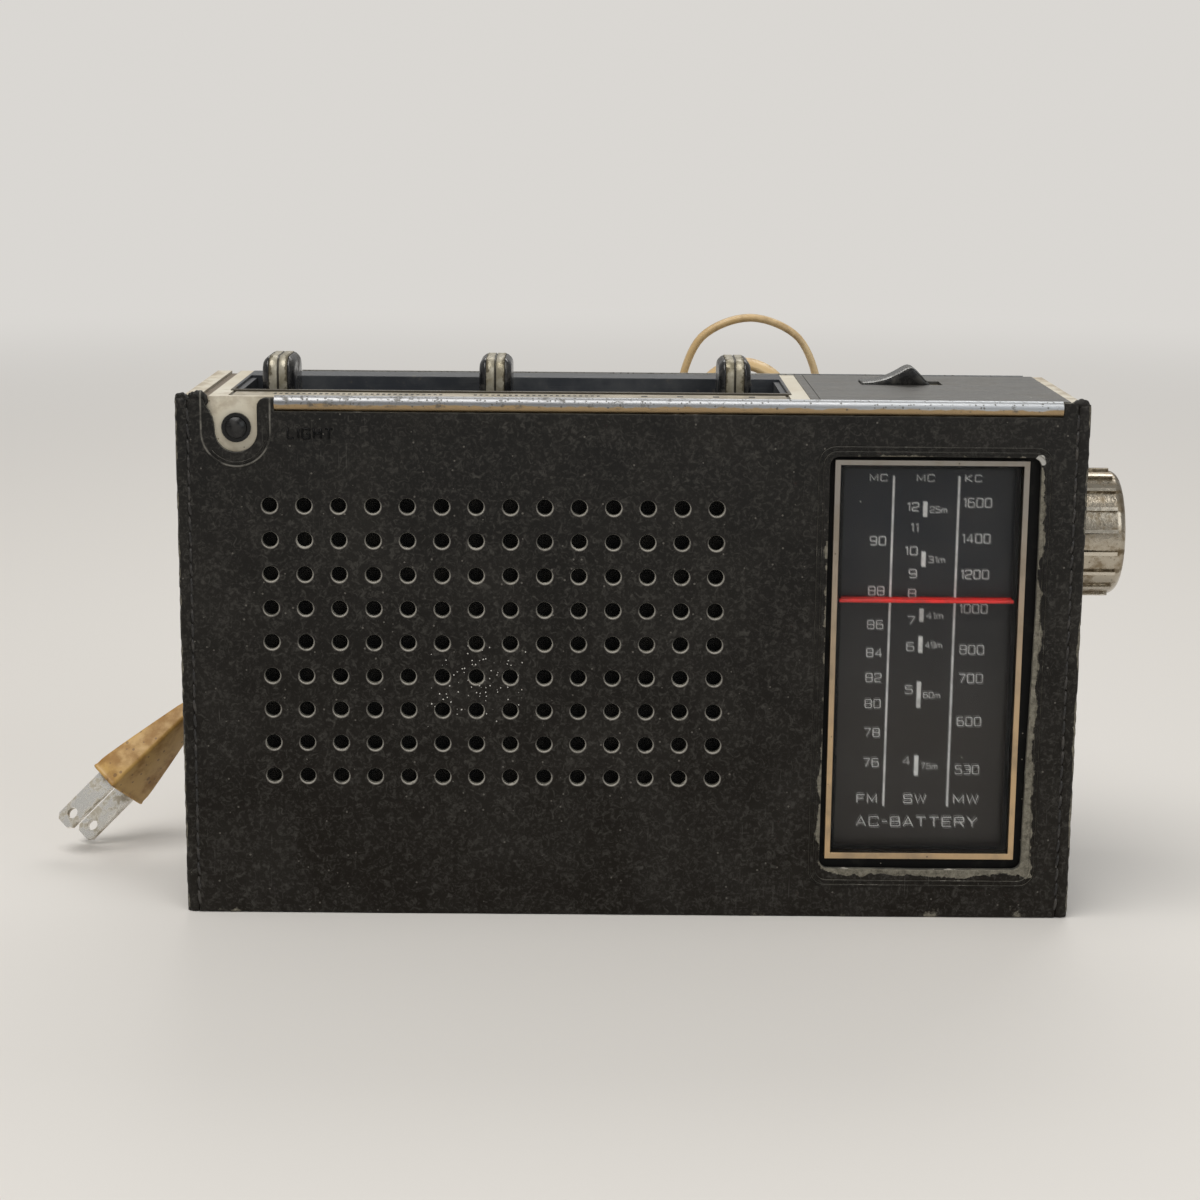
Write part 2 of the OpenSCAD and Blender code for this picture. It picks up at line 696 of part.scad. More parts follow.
module dial_pointer() {
    color([0.8, 0.05, 0.05]) {
        block(dial_l + 1, rail_x - 1.2, pointer_y, pointer_y + pointer_t,
            pointer_z - pointer_h / 2, pointer_z + pointer_h / 2);
        block(rail_x - 2.4, rail_x - 1.2, pointer_y, rail_y - 2.6,
            pointer_z - 2, pointer_z + 2);
        difference() {
            bar_z(3, pointer_z - slider_h / 2, pointer_z + slider_h / 2, rail_x, rail_y);
            bar_z(rail_r + run_fit, pointer_z - slider_h, pointer_z + slider_h, rail_x, rail_y);
        }
        difference() {
            block(rail_x - 1.1, rail_x + 1.1, rail_y + 2.6, run_f + 1.2,
                pointer_z - slider_h / 2, pointer_z - clip_drop);
            bar_z(line_r + 0.1, pointer_z - slider_h, pointer_z, rail_x, run_f);
        }
    }
}
module pointer_rail() {
    color([0.7, 0.7, 0.68]) {
        bar_z(rail_r, rail_low, rail_high, rail_x, rail_y);
        for (z = [rail_low - 2, rail_high])
            block(rail_x - 2, in_x, rail_y - 2.5, rail_y + 2.5, z, z + 2);
    }
}

// ---------- tuning drive ----------
module tuning_knob() {
    grip = tune_out - 1;
    body_r = tune_r - rib_rise;
    round = 2.5;
    color([0.72, 0.69, 0.6]) difference() {
        union() {
            translate([xr + 1, tune_y, tune_z]) rotate([0, 90, 0]) rotate_extrude($fn = 96)
                union() {
                    square([body_r - round, grip]);
                    square([body_r, grip - round]);
                    translate([body_r - round, grip - round]) circle(round, $fn = 32);
                }
            for (i = [0:tune_ribs - 1]) translate([0, tune_y, tune_z]) rotate([360 / tune_ribs * i, 0, 0])
                block(xr + 1, xr + tune_out - round, -rib_w / 2, rib_w / 2, body_r - 1, tune_r);
        }
        bar_x(tune_r - 5, xr + tune_out - 0.8, xr + tune_out + cut, tune_y, tune_z);
        bar_x(shaft_r + 0.02, xr, xr + 4, tune_y, tune_z);
    }
}
module tuning_shaft() {
    color([0.62, 0.62, 0.6]) {
        difference() {
            bar_x(shaft_r, shaft_start, shaft_end, tune_y, tune_z);
            for (x = [drum_x + drum_t / 2, pulley_x]) difference() {
                bar_x(shaft_r + cut, x - 1, x + 1, tune_y, tune_z);
                bar_x(shaft_r - line_r - run_fit, x - 1 - cut, x + 1 + cut, tune_y, tune_z);
            }
        }
        for (x = [drum_x - 1.2, drum_x + drum_t]) bar_x(shaft_r + 1.2, x, x + 1.2, tune_y, tune_z);
    }
}
module shaft_bush() {
    color([0.72, 0.6, 0.3]) difference() {
        union() {
            bar_x(bush_r, in_x - 4, xr + 0.4, tune_y, tune_z);
            bar_x(bush_r + 1.5, in_x - 4, in_x, tune_y, tune_z);
        }
        bar_x(shaft_r + run_fit, in_x - 5, xr + cut, tune_y, tune_z);
    }
}
module dial_drum() {
    color([0.88, 0.86, 0.8]) {
        difference() {
            union() {
                bar_x(drum_r - line_r - run_fit, drum_x, drum_x + drum_t, drum_y, drum_z);
                for (x = [drum_x, drum_x + drum_t - 1.2])
                    bar_x(drum_r + flange_h, x, x + 1.2, drum_y, drum_z);
            }
            for (a = [0:60:300]) translate([0, drum_y, drum_z]) rotate([a, 0, 0])
                bar_x(5.5, drum_x - cut, drum_x + drum_t + cut, 0, 13.5);
        }
        bar_x(5, drum_x - 1.5, drum_x + eps, drum_y, drum_z);
        bar_x(2.5, drum_x - 10, drum_x, drum_y, drum_z);
    }
}
module tuning_capacitor() {
    half = 12;
    can_l = 20;
    can_end = drum_x - 2;
    color([0.8, 0.82, 0.8]) difference() {
        union() {
            block(can_end - can_l, can_end, drum_y - half, pcb_y, drum_z - half, drum_z + half);
            block(can_end - can_l + 1, can_end - 1, drum_y - half + 2, drum_y + half - 2,
                drum_z - half - 2, drum_z - half + eps);
        }
        bar_x(2.5 + run_fit, can_end - 9, drum_x, drum_y, drum_z);
    }
}
module drive_pulleys() {
    for (z = [pulley_low, pulley_high]) {
        color([0.88, 0.86, 0.8]) {
            for (x = [pulley_x - 1.5, pulley_x + 0.7])
                bar_x(pulley_r + 0.8, x, x + 0.8, pulley_y, z);
            bar_x(pulley_r, pulley_x - 1, pulley_x + 1, pulley_y, z);
        }
        color([0.6, 0.6, 0.6]) bar_x(1, pulley_x - 2, in_x, pulley_y, z);
    }
}
// One straight run of the dial cord, a hair short of the two points
module cord_run(a, b) {
    d = b - a;
    len = norm(d);
    translate(a + d * eps / len) rotate([0, acos(d[2] / len), atan2(d[1], d[0])])
        cylinder(r = line_r, h = len - 2 * eps, $fn = 16);
}
// Arc of the dial cord in an upright plane, from one angle round by a turn
module cord_arc(x, y, z, r, from, turn) {
    translate([x, y, z]) rotate([90, 0, 90]) rotate([0, 0, from]) rotate_extrude(angle = turn)
        translate([r, 0]) circle(line_r, $fn = 16);
}
// Two cords: one lifts the pointer round its pulleys, the other turns the drum
module dial_cord() {
    drum_plane = drum_x + drum_t / 2;
    lean = atan2(drum_z - tune_z, drum_y - tune_y);
    spread = acos((drum_r - shaft_r) / norm([drum_y - tune_y, drum_z - tune_z]));
    color([0.85, 0.82, 0.7]) {
        for (y = [run_f, run_b]) cord_run([pulley_x, y, pulley_low], [pulley_x, y, pulley_high]);
        cord_arc(pulley_x, pulley_y, pulley_high, pulley_r + line_r, 0, 180);
        cord_arc(pulley_x, pulley_y, pulley_low, pulley_r + line_r, 180, 180);
        for (a = [lean + 180 - spread, lean + 180 + spread])
            cord_run([drum_plane, drum_y + drum_r * cos(a), drum_z + drum_r * sin(a)],
                [drum_plane, tune_y + shaft_r * cos(a), tune_z + shaft_r * sin(a)]);
        cord_arc(drum_plane, drum_y, drum_z, drum_r, lean + 180 + spread, 360 - 2 * spread);
        cord_arc(drum_plane, tune_y, tune_z, shaft_r, lean + 180 - spread, 2 * spread);
    }
}

// ---------- speaker ----------
module grille_cloth() {
    color([0.03, 0.03, 0.03]) upright(in_f - 0.5, in_f) round_rect(grille_x - window_w / 2 + 0.1,
        grille_x + window_w / 2 - 0.1, grille_z - window_h / 2 + 0.1, grille_z + window_h / 2 - 0.1, 3);
}
module baffle_board() {
    color([0.3, 0.22, 0.15]) difference() {
        block(grille_x - board_w / 2, grille_x + board_w / 2, in_f, baffle_b,
            grille_z - board_h / 2, grille_z + board_h / 2);
        bar_y(speaker_r - 4, in_f - cut, baffle_b + cut, grille_x, grille_z);
    }
}
module speaker_frame() {
    color([0.45, 0.45, 0.45]) translate([grille_x, baffle_b, grille_z]) rotate([-90, 0, 0])
        difference() {
            rotate_extrude() {
                translate([speaker_r - 7, 0]) square([7, 1]);
                polygon([[speaker_r - 7, 0.5], [speaker_r - 5.8, 0.5], [magnet_r + 1, cone_d],
                    [magnet_r + 1, cone_d + 1], [8, cone_d + 1], [8, cone_d], [magnet_r, cone_d]]);
            }
            for (a = [22.5:45:337.5]) rotate([0, 0, a])
                translate([magnet_r + 3, -6, 3]) cube([12, 12, cone_d - 5]);
        }
}
module speaker_cone() {
    color([0.12, 0.12, 0.12]) translate([grille_x, baffle_b, grille_z]) rotate([-90, 0, 0])
        rotate_extrude() polygon([[speaker_r - 4.5, -0.6], [speaker_r - 4.5, 0], [speaker_r - 7.5, 0],
            [12, cone_d - 4], [0, cone_d - 7], [0, cone_d - 8], [12, cone_d - 5],
            [speaker_r - 7.5, -0.6]]);
}
module speaker_magnet() {
    color([0.35, 0.35, 0.36]) {
        bar_y(7.5, magnet_b - magnet_t - 1.4, magnet_b - magnet_t, grille_x, grille_z);
        bar_y(magnet_r, magnet_b - magnet_t, magnet_b, grille_x, grille_z);
    }
}

// ---------- electronics ----------
module circuit_board() {
    can_w = 9;
    can_drop = 22;
    part_step = 24;
    back = pcb_y + pcb_t;
    color([0.45, 0.32, 0.14]) block(-in_x + 12, drum_x - 2.5, pcb_y, back, pcb_low, pcb_high);
    for (i = [0:4]) let (x = 30 - in_x + part_step * i) {
        color([0.75, 0.76, 0.74])
            block(x, x + can_w, back - eps, back + can_w, pcb_high - can_drop, pcb_high - can_drop + can_w);
        color([0.1, 0.15, 0.4]) bar_y(4, back - eps, back + 10, x + 14, (pcb_low + pcb_high) / 2 - 11);
        color([0.7, 0.4, 0.2]) bar_z(1.2, pcb_low + 2.4, pcb_low + 9.4, x - 2, back + 1.1);
    }
}
module ferrite_rod() {
    color([0.2, 0.2, 0.21]) bar_x(rod_r, -in_x + 18, 6, rod_y, rod_z);
    color([0.8, 0.8, 0.76]) for (x = [-in_x + 22, -2]) difference() {
        block(x - 2, x + 2, pcb_y + pcb_t, in_b, pcb_high - 3, rod_z + rod_r + 1);
        bar_x(rod_r, x - 3, x + 3, rod_y, rod_z);
    }
}
module aerial_coil() {
    coil_wall = 1.2;
    coil_w = 28;
    coil_l = 54 - in_x;
    color([0.7, 0.35, 0.15]) difference() {
        bar_x(rod_r + coil_wall, coil_l, coil_l + coil_w, rod_y, rod_z);
        bar_x(rod_r, coil_l - cut, coil_l + coil_w + cut, rod_y, rod_z);
    }
}
module power_transformer() {
    limb = 6;
    core_w = 6 * limb;
    core_h = 5 * limb;
    core_f = -14;
    core_b = 6;
    wind = 5;
    x0 = dial_x - core_w / 2 - 4;
    color([0.35, 0.35, 0.34]) difference() {
        block(x0, x0 + core_w, core_f, core_b, in_z, in_z + core_h);
        for (x = [x0 + limb, x0 + 4 * limb])
            block(x, x + limb, core_f - cut, core_b + cut, in_z + limb, in_z + 4 * limb);
    }
    color([0.8, 0.65, 0.2]) difference() {
        block(x0 + limb + 0.2, x0 + 5 * limb - 0.2, core_f - wind, core_b + wind,
            in_z + limb + 0.2, in_z + 4 * limb - 0.2);
        block(x0 + 2 * limb - 0.2, x0 + 4 * limb + 0.2, core_f, core_b, in_z + limb, in_z + 4 * limb);
    }
}

// ---------- battery compartment ----------
module battery_box() {
    color([0.12, 0.12, 0.12]) difference() {
        block(door_l - 1, door_r + 1, box_f, in_b, in_z, door_high + 1);
        block(door_l + 0.5, door_r - 0.5, box_f + 1.2, in_b + cut, door_low + 0.2, door_high - 0.2);
    }
    for (i = [0, 1]) color([0.75, 0.72, 0.6]) {
        block(door_l + 0.5, door_l + 2, box_f + 4, in_b - 4,
            door_low + 6 + i * (cell_d + 1), door_low + 20 + i * (cell_d + 1));
        block(door_r - 2, door_r - 0.5, box_f + 4, in_b - 4,
            door_low + 6 + i * (cell_d + 1), door_low + 20 + i * (cell_d + 1));
    }
}
module battery_cells() {
    cell_y = in_b - 1 - cell_d / 2;
    for (i = [0, 1], j = [0, 1]) let (x = door_l + 2 + j * cell_l)
        translate([0, 0, door_low + 0.3 + cell_d / 2 + i * (cell_d + 0.4)]) color([0.15, 0.25, 0.45]) {
            bar_x(cell_d / 2, x, x + cell_l - 1.5, cell_y, 0);
            bar_x(3, x + cell_l - 1.5 - eps, x + cell_l, cell_y, 0);
        }
}
module battery_cover() {
    color([0.82, 0.76, 0.63]) {
        block(door_l + 0.1, door_r - 0.1, in_b + 0.2, cab_b - 0.1, door_low + 0.1, door_high - 0.1);
        for (i = [0:5]) block(door_l + 8 + 2 * i, door_l + 9 + 2 * i, cab_b - 0.2, cab_b + 0.5,
                door_low + 16, door_high - 16);
    }
}

// ---------- mains lead ----------
module cord_gland() {
    color([0.3, 0.28, 0.25]) difference() {
        union() {
            bar_y(6, in_b - 1.5, in_b, exit_x, exit_z);
            bar_y(4.2, in_b - eps, yb, exit_x, exit_z);
            translate([exit_x, yb, exit_z]) rotate([-90, 0, 0]) cylinder(r1 = 4.2, r2 = 3, h = gland_l);
        }
        for (i = [0:3]) for (s = [-1, 1])
            block(exit_x - 5, exit_x + 5, yb + 4 + 4 * i, yb + 5.2 + 4 * i,
                exit_z + (s > 0 ? 2.4 : -5), exit_z + (s > 0 ? 5 : -2.4));
    }
}
// Route of the lead, from the gland up round its standing loop and down to the coil
lead_route = [[19, 54, 110], [19, 61, 110], [21.5, 67.5, 110], [27, 71.5, 109.8], [34.5, 73, 110],
    [44, 73.2, 114], [48.2, 73.4, 123.5], [44.2, 73.6, 133], [34.5, 73.8, 137.2],
    [24.6, 74, 133.2], [20, 75, 123.5], [23.2, 76, 111.5], [34.5, 77, 105], [48, 77.6, 108.5],
    [56, 78, 119], [57.3, 78, 130], [51.2, 78, 144.6], [36.6, 78, 150.5], [22, 77.5, 144.6],
    [15.9, 76.5, 130], [14, 74.8, 113], [13, 72.5, 96], [12.5, 70, 79], [12, 68, 62],
    [11, 66.8, 46], [8.5, 67.5, 31], [4, 71, 19.5], [-1, 76.5, 12.5], [-4.7, 84.7, 8.5], [-10.7, 93.3, 7.2]];
// Route of the tail, from the coil along the table and up to the plug
tail_route = [[-39.6, 102, 2.5], [-50, 99.5, 2.5], [-62, 95.5, 2.8], [-74, 89.5, 5], [-85, 83, 10],
    [-94, 76, 19], [-101, 68, 30], [-106, 60, 40], [-110, 51.5, 46.5], [-114, 43.5, 47.8],
    [-119.2, 38, 45], [-125.5, 34.4, 39.8]];

// Tube of eight sides along a route, with one ring at each point and one between
function mid_point(r, i) = i == 0 || i == len(r) - 2 ? (r[i] + r[i + 1]) / 2
    : (9 * (r[i] + r[i + 1]) - r[i - 1] - r[i + 2]) / 16;
function fine_route(r) = [for (i = [0:len(r) - 1]) each
    i < len(r) - 1 ? [r[i], mid_point(r, i)] : [r[i]]];
function heading(r, i) = let (a = r[max(i - 1, 0)], b = r[min(i + 1, len(r) - 1)]) (b - a) / norm(b - a);
function side_of(d) = let (s = abs(d[2]) > 0.9 ? cross(d, [1, 0, 0]) : cross(d, [0, 0, 1])) s / norm(s);
function turn_side(s, d) = let (t = s - (s * d) * d) t / norm(t);
function sides(r, i = 0, s = undef) = i >= len(r) ? [] :
    let (d = heading(r, i), t = is_undef(s) ? side_of(d) : turn_side(s, d))
    concat([t], sides(r, i + 1, t));
function ring(p, d, s, rad) = let (u = cross(d, s))
    [for (k = [0:7]) p + rad * (cos(45 * k + 22.5) * s + sin(45 * k + 22.5) * u)];
module tube(route, rad) {
    r = fine_route(route);
    s = sides(r);
    n = len(r);
    points = [for (i = [0:n - 1]) each ring(r[i], heading(r, i), s[i], rad)];
    walls = [for (i = [0:n - 2], k = [0:7]) let (a = 8 * i + k, b = 8 * i + (k + 1) % 8)
        [a, a + 8, b + 8, b]];
    polyhedron(points, concat([[for (k = [0:7]) k]], walls, [[for (k = [7:-1:0]) 8 * (n - 1) + k]]),
        convexity = 10);
}
module cord_lead() { color([0.8, 0.68, 0.45]) tube(lead_route, lead_r); }
module cord_tail() { color([0.8, 0.68, 0.45]) tube(tail_route, lead_r); }
module cord_coil() {
    color([0.8, 0.68, 0.45]) translate([coil_x, coil_y, 0]) rotate_extrude($fn = 64)
        translate([coil_in, 0]) square([coil_rows * cord_t, coil_layers * cord_w]);
}
module at_plug() {
    translate(plug_pos) rotate([0, plug_tilt, plug_yaw]) rotate([0, 0, plug_roll]) children();
}
// Moulded body lofted from a wide front to the cord, by two crossed wedges
module plug_body() {
    half_w = blade_pitch / 2 + 3.4;
    half_t = blade_w / 2 + 1.8;
    body_l = 31;
    color([0.76, 0.62, 0.4]) at_plug() intersection() {
        translate([0, half_t, 0]) rotate([90, 0, 0]) linear_extrude(2 * half_t)
            polygon([[-half_w, 0], [half_w, 0], [half_w, 4], [4, body_l], [-4, body_l], [-half_w, 4]]);
        translate([-half_w, 0, 0]) rotate([90, 0, 90]) linear_extrude(2 * half_w)
            polygon([[-half_t, 0], [half_t, 0], [half_t, 3], [2.2, body_l], [-2.2, body_l], [-half_t, 3]]);
    }
}
module plug_blades() {
    color([0.72, 0.72, 0.7]) at_plug() for (s = [-1, 1]) difference() {
        translate([s * blade_pitch / 2 - blade_t / 2, 0, 0]) rotate([90, 0, 90]) linear_extrude(blade_t)
            polygon([[-blade_w / 2, 0], [blade_w / 2, 0],
                [blade_w / 2, blade_tip - blade_l], [blade_w / 2 - blade_tip, -blade_l],
                [blade_tip - blade_w / 2, -blade_l], [-blade_w / 2, blade_tip - blade_l]]);
        translate([s * blade_pitch / 2 - blade_t, 0, 4 - blade_l]) rotate([0, 90, 0])
            cylinder(r = 1.6, h = 2 * blade_t);
    }
}

case_front();
case_back();
case_bottom();
case_side_left();
case_side_right();
front_trim_bar();
back_trim_bar();
cabinet_front();
cabinet_back();
cabinet_screws();
top_deck();
slide_tray();
scale_strip();
switch_plate();
grille_cloth();
baffle_board();
speaker_frame();
speaker_cone();
speaker_magnet();
dial_bezel();
dial_frame();
dial_lens();
dial_plate();
dial_lamps();
dial_pointer();
pointer_rail();
button_ring();
light_button();
light_switch();
volume_lever();
volume_lever_band();
tone_lever();
tone_lever_band();
band_lever();
band_lever_band();
volume_control();
tone_control();
band_switch();
power_lever();
power_switch();
tuning_knob();
tuning_shaft();
shaft_bush();
dial_drum();
tuning_capacitor();
drive_pulleys();
dial_cord();
circuit_board();
ferrite_rod();
aerial_coil();
power_transformer();
battery_box();
battery_cells();
battery_cover();
cord_gland();
cord_lead();
cord_coil();
cord_tail();
plug_body();
plug_blades();
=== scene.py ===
"""A portable tabletop radio in its worn leather case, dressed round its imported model.

Metres, +Z up, front towards -Y, tuning knob towards +X. The origin is the centre of the case's base.
"""
import math
import random

import bmesh
import bpy
from mathutils import Matrix, Vector


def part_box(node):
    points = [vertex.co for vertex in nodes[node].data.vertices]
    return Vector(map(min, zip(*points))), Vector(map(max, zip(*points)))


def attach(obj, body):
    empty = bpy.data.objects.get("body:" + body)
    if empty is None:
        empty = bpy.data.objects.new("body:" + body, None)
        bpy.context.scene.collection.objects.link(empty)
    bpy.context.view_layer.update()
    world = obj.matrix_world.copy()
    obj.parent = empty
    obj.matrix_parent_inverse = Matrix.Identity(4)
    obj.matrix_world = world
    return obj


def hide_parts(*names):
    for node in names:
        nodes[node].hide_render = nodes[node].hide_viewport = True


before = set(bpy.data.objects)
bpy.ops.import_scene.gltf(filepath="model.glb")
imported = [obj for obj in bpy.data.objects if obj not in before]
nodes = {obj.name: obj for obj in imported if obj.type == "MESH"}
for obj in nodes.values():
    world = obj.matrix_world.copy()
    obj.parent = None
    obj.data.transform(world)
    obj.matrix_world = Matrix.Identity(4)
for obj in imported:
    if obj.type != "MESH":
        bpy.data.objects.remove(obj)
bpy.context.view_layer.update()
MM = 0.001

# ---------------------------------------------------------------- table, light and camera
# A plain pale table that runs off into an even backdrop, under one large soft lamp, a weaker fill
# and a low sky. The camera stands a little above the radio and looks down by about twelve degrees.
scene = bpy.context.scene
scene.view_settings.view_transform = "Standard"


class Net:
    """A node tree in the making."""

    def __init__(self, tree):
        self.tree = tree

    def parts(self, kind, inputs=None, **settings):
        """A new node's outputs: its settings made, its inputs given as values or linked from sockets."""
        made = self.tree.nodes.new(kind)
        for name, value in settings.items():
            setattr(made, name, value)
        for key, value in (inputs or {}).items():
            self.feed(made.inputs[key], value)
        return made.outputs

    def feed(self, socket, value):
        if isinstance(value, bpy.types.NodeSocket):
            self.tree.links.new(value, socket)
        else:
            socket.default_value = value

    def node(self, kind, inputs=None, **settings):
        """A new node's first output."""
        return self.parts(kind, inputs, **settings)[0]

    def maths(self, kind, first, second=0.0):
        return self.node("ShaderNodeMath", {0: first, 1: second}, operation=kind)

    def vectors(self, kind, *values):
        """A sum on vectors: a vector again, or a length or a distance as a number."""
        made = self.parts("ShaderNodeVectorMath", dict(enumerate(values)), operation=kind)
        return made["Value" if kind in ("LENGTH", "DISTANCE") else "Vector"]


def placed(name, data):
    """An object in the scene at the origin."""
    made = bpy.data.objects.new(name, data)
    scene.collection.objects.link(made)
    return made


def soft_lamp(name, place, aim, size, watts, tint):
    lamp = bpy.data.lights.new(name, "AREA")
    lamp.shape = "RECTANGLE"
    lamp.size, lamp.size_y = size
    lamp.energy = watts
    lamp.color = tint
    holder = placed(name, lamp)
    holder.location = place
    holder.rotation_euler = (Vector(aim) - Vector(place)).to_track_quat("-Z", "Y").to_euler()


soft_lamp("ceiling_lamp", (-0.35, -0.45, 1.5), (0, 0, 0.05), (1.3, 0.9), 17, (1.0, 0.975, 0.94))
soft_lamp("fill_lamp", (0.9, -1.0, 0.75), (0, 0, 0.07), (0.9, 0.9), 4, (0.95, 0.975, 1.0))
soft_lamp("rim_lamp", (0.2, 1.1, 1.1), (0, 0, 0.1), (1.2, 0.6), 6, (1.0, 0.98, 0.95))

BACKDROP = (0.70, 0.68, 0.65, 1)
sky = bpy.data.worlds.new("studio_sky")
scene.world = sky
sky.use_nodes = True
sky.node_tree.nodes.clear()
air = Net(sky.node_tree)
paths = air.parts("ShaderNodeLightPath")
seen = air.maths("MAXIMUM", paths["Is Camera Ray"], paths["Is Transmission Ray"])
ambient = air.node("ShaderNodeBackground", {"Color": (0.80, 0.79, 0.77, 1), "Strength": 0.42})
backdrop = air.node("ShaderNodeBackground", {"Color": BACKDROP, "Strength": 1.0})
both = air.node("ShaderNodeMixShader", {0: seen, 1: ambient, 2: backdrop})
air.parts("ShaderNodeOutputWorld", {"Surface": both})

bpy.ops.mesh.primitive_plane_add(size=12, location=(0, 0, 0))
table = bpy.context.object
table.name = "studio_table"
pale = bpy.data.materials.new("pale_table")
pale.use_nodes = True
top = Net(pale.node_tree)
pale_shader = pale.node_tree.nodes["Principled BSDF"]
pale_shader.inputs["Base Color"].default_value = BACKDROP
pale_shader.inputs["Roughness"].default_value = 0.6
reach = top.vectors("LENGTH", top.parts("ShaderNodeTexCoord")["Object"])
fade = top.node("ShaderNodeMapRange", {"Value": reach, "From Min": 0.45, "From Max": 1.9},
                interpolation_type="SMOOTHSTEP")
glow = top.node("ShaderNodeEmission", {"Color": BACKDROP, "Strength": 1.0})
run_off = top.node("ShaderNodeMixShader", {0: fade, 1: pale_shader.outputs[0], 2: glow})
top.feed(pale.node_tree.nodes["Material Output"].inputs["Surface"], run_off)
table.data.materials.append(pale)

CAMERA_PLACE = Vector((-0.01006, -0.6531, 0.21385))
CAMERA_DOWN, CAMERA_YAW, CAMERA_ROLL = (math.radians(a) for a in (11.61, 0.18, 0.5))
CAMERA_LENS = 72.87
ahead = Vector((math.sin(CAMERA_YAW) * math.cos(CAMERA_DOWN), math.cos(CAMERA_YAW) * math.cos(CAMERA_DOWN),
                -math.sin(CAMERA_DOWN)))
level = Vector((math.cos(CAMERA_YAW), -math.sin(CAMERA_YAW), 0))
above = level.cross(ahead)
right = level * math.cos(CAMERA_ROLL) + above * math.sin(CAMERA_ROLL)
upward = above * math.cos(CAMERA_ROLL) - level * math.sin(CAMERA_ROLL)
camera_data = bpy.data.cameras.new("camera")
camera_data.lens = CAMERA_LENS
camera_data.sensor_width = 36
camera = placed("camera", camera_data)
camera.matrix_world = Matrix((
    (right.x, upward.x, -ahead.x, CAMERA_PLACE.x), (right.y, upward.y, -ahead.y, CAMERA_PLACE.y),
    (right.z, upward.z, -ahead.z, CAMERA_PLACE.z), (0, 0, 0, 1)))
scene.camera = camera

# ---------------------------------------------------------------- mains lead
# A flat twin lead of yellowed flexible vinyl, two cores side by side with a groove between. It leaves
# the strain relief, stands up in two loops behind the case, drops to a neat coil and ends in the plug.
CORD_THIN = 2.4 * MM
COIL_CENTRE = Vector((-34 * MM, 70 * MM, 0))
COIL_TURNS = (29.4, 27.0, 24.6)
lead_route = [
    (19, 54, 110), (19, 61, 110), (21.5, 67.5, 110), (27, 71.5, 109.8), (34.5, 73, 110),
    (44, 73.2, 114), (48.2, 73.4, 123.5), (44.2, 73.6, 133), (34.5, 73.8, 137.2),
    (24.6, 74, 133.2), (20, 75, 123.5), (23.2, 76, 111.5), (34.5, 77, 105), (48, 77.6, 108.5),
    (56, 78, 119), (57.3, 78, 130), (51.2, 78, 144.6), (36.6, 78, 150.5), (22, 77.5, 144.6),
    (15.9, 76.5, 130), (14, 74.8, 113), (13, 72.5, 96), (12.5, 70, 79), (12, 68, 62),
    (11, 66.8, 46), (8.5, 67.5, 31), (4, 71, 19.5), (-1, 76.5, 12.5), (-4.7, 84.7, 8.5)]
tail_route = [
    (-50, 99.5, 2.5), (-62, 95.5, 2.8), (-74, 89.5, 5), (-85, 83, 10),
    (-94, 76, 19), (-101, 68, 30), (-106, 60, 40), (-110, 51.5, 46.5), (-114, 43.5, 47.8),
    (-119.2, 38, 45), (-125.5, 34.4, 39.8)]


def smooth_step(t):
    t = min(max(t, 0), 1)
    return t * t * (3 - 2 * t)


def coil_points():
    """The turns of the coil: three inwards on the upper layer, then three outwards on the table."""
    radii = [32.7] + list(COIL_TURNS) + list(COIL_TURNS[::-1]) + [32.6]
    heights = [7.2] * 4 + [2.5] * 4
    start, sweep = 52, 6 * 360 + 40
    made = []
    for step in range(0, int(sweep / 12) + 1):
        angle = start + 12 * step
        turned = (angle - start) / 360
        slot = min(int(turned) + 1, 6)
        within = turned - int(turned) if turned < 6 else 1
        share = smooth_step(within / 0.22)
        radius = radii[slot - 1] + (radii[slot] - radii[slot - 1]) * share
        height = heights[slot - 1] + (heights[slot] - heights[slot - 1]) * share
        if turned >= 6:
            share = smooth_step((turned - 6) / 0.14)
            radius = radii[6] + (radii[7] - radii[6]) * share
        a = math.radians(angle)
        made.append((COIL_CENTRE.x / MM + radius * math.cos(a), COIL_CENTRE.y / MM + radius * math.sin(a),
                     height))
    return made


def refined(points):
    """One pass of four-point subdivision, which keeps the given points and rounds between them."""
    made = []
    last = len(points) - 1
    for i in range(last):
        a, b = points[i], points[i + 1]
        made.append(a)
        if 0 < i < last - 1:
            made.append((a + b) * 0.5625 - (points[i - 1] + points[i + 2]) * 0.0625)
        else:
            made.append((a + b) * 0.5)
    made.append(points[-1])
    return made


def skinned(mesh, rings, closed=False):
    """Faces from each ring of corners to the next, and from the last to the first of a closed row."""
    count = len(rings[0])
    for low, high in zip(rings, rings[1:] + rings[:1] if closed else rings[1:]):
        for k in range(count):
            mesh.faces.new((low[k], low[(k + 1) % count], high[(k + 1) % count], high[k]))


def swept(name, route, outline, wide_at):
    """A closed tube of that outline along the route; wide_at gives the outline's long way there."""
    mesh = bmesh.new()
    rings = []
    for i, place in enumerate(route):
        along = (route[min(i + 1, len(route) - 1)] - route[max(i - 1, 0)]).normalized()
        wide = wide_at(i / (len(route) - 1), place)
        wide = (wide - along * wide.dot(along)).normalized()
        thin = along.cross(wide)
        rings.append([mesh.verts.new(place + wide * u + thin * v) for u, v in outline])
    skinned(mesh, rings)
    mesh.faces.new(rings[0][::-1])
    mesh.faces.new(rings[-1])
    return mesh_object(name, mesh)


def mesh_object(name, mesh, smooth=True):
    """The bmesh as an object at the origin, with its faces turned outwards."""
    bmesh.ops.recalc_face_normals(mesh, faces=mesh.faces)
    data = bpy.data.meshes.new(name)
    mesh.to_mesh(data)
    mesh.free()
    for face in data.polygons:
        face.use_smooth = smooth
    return placed(name, data)


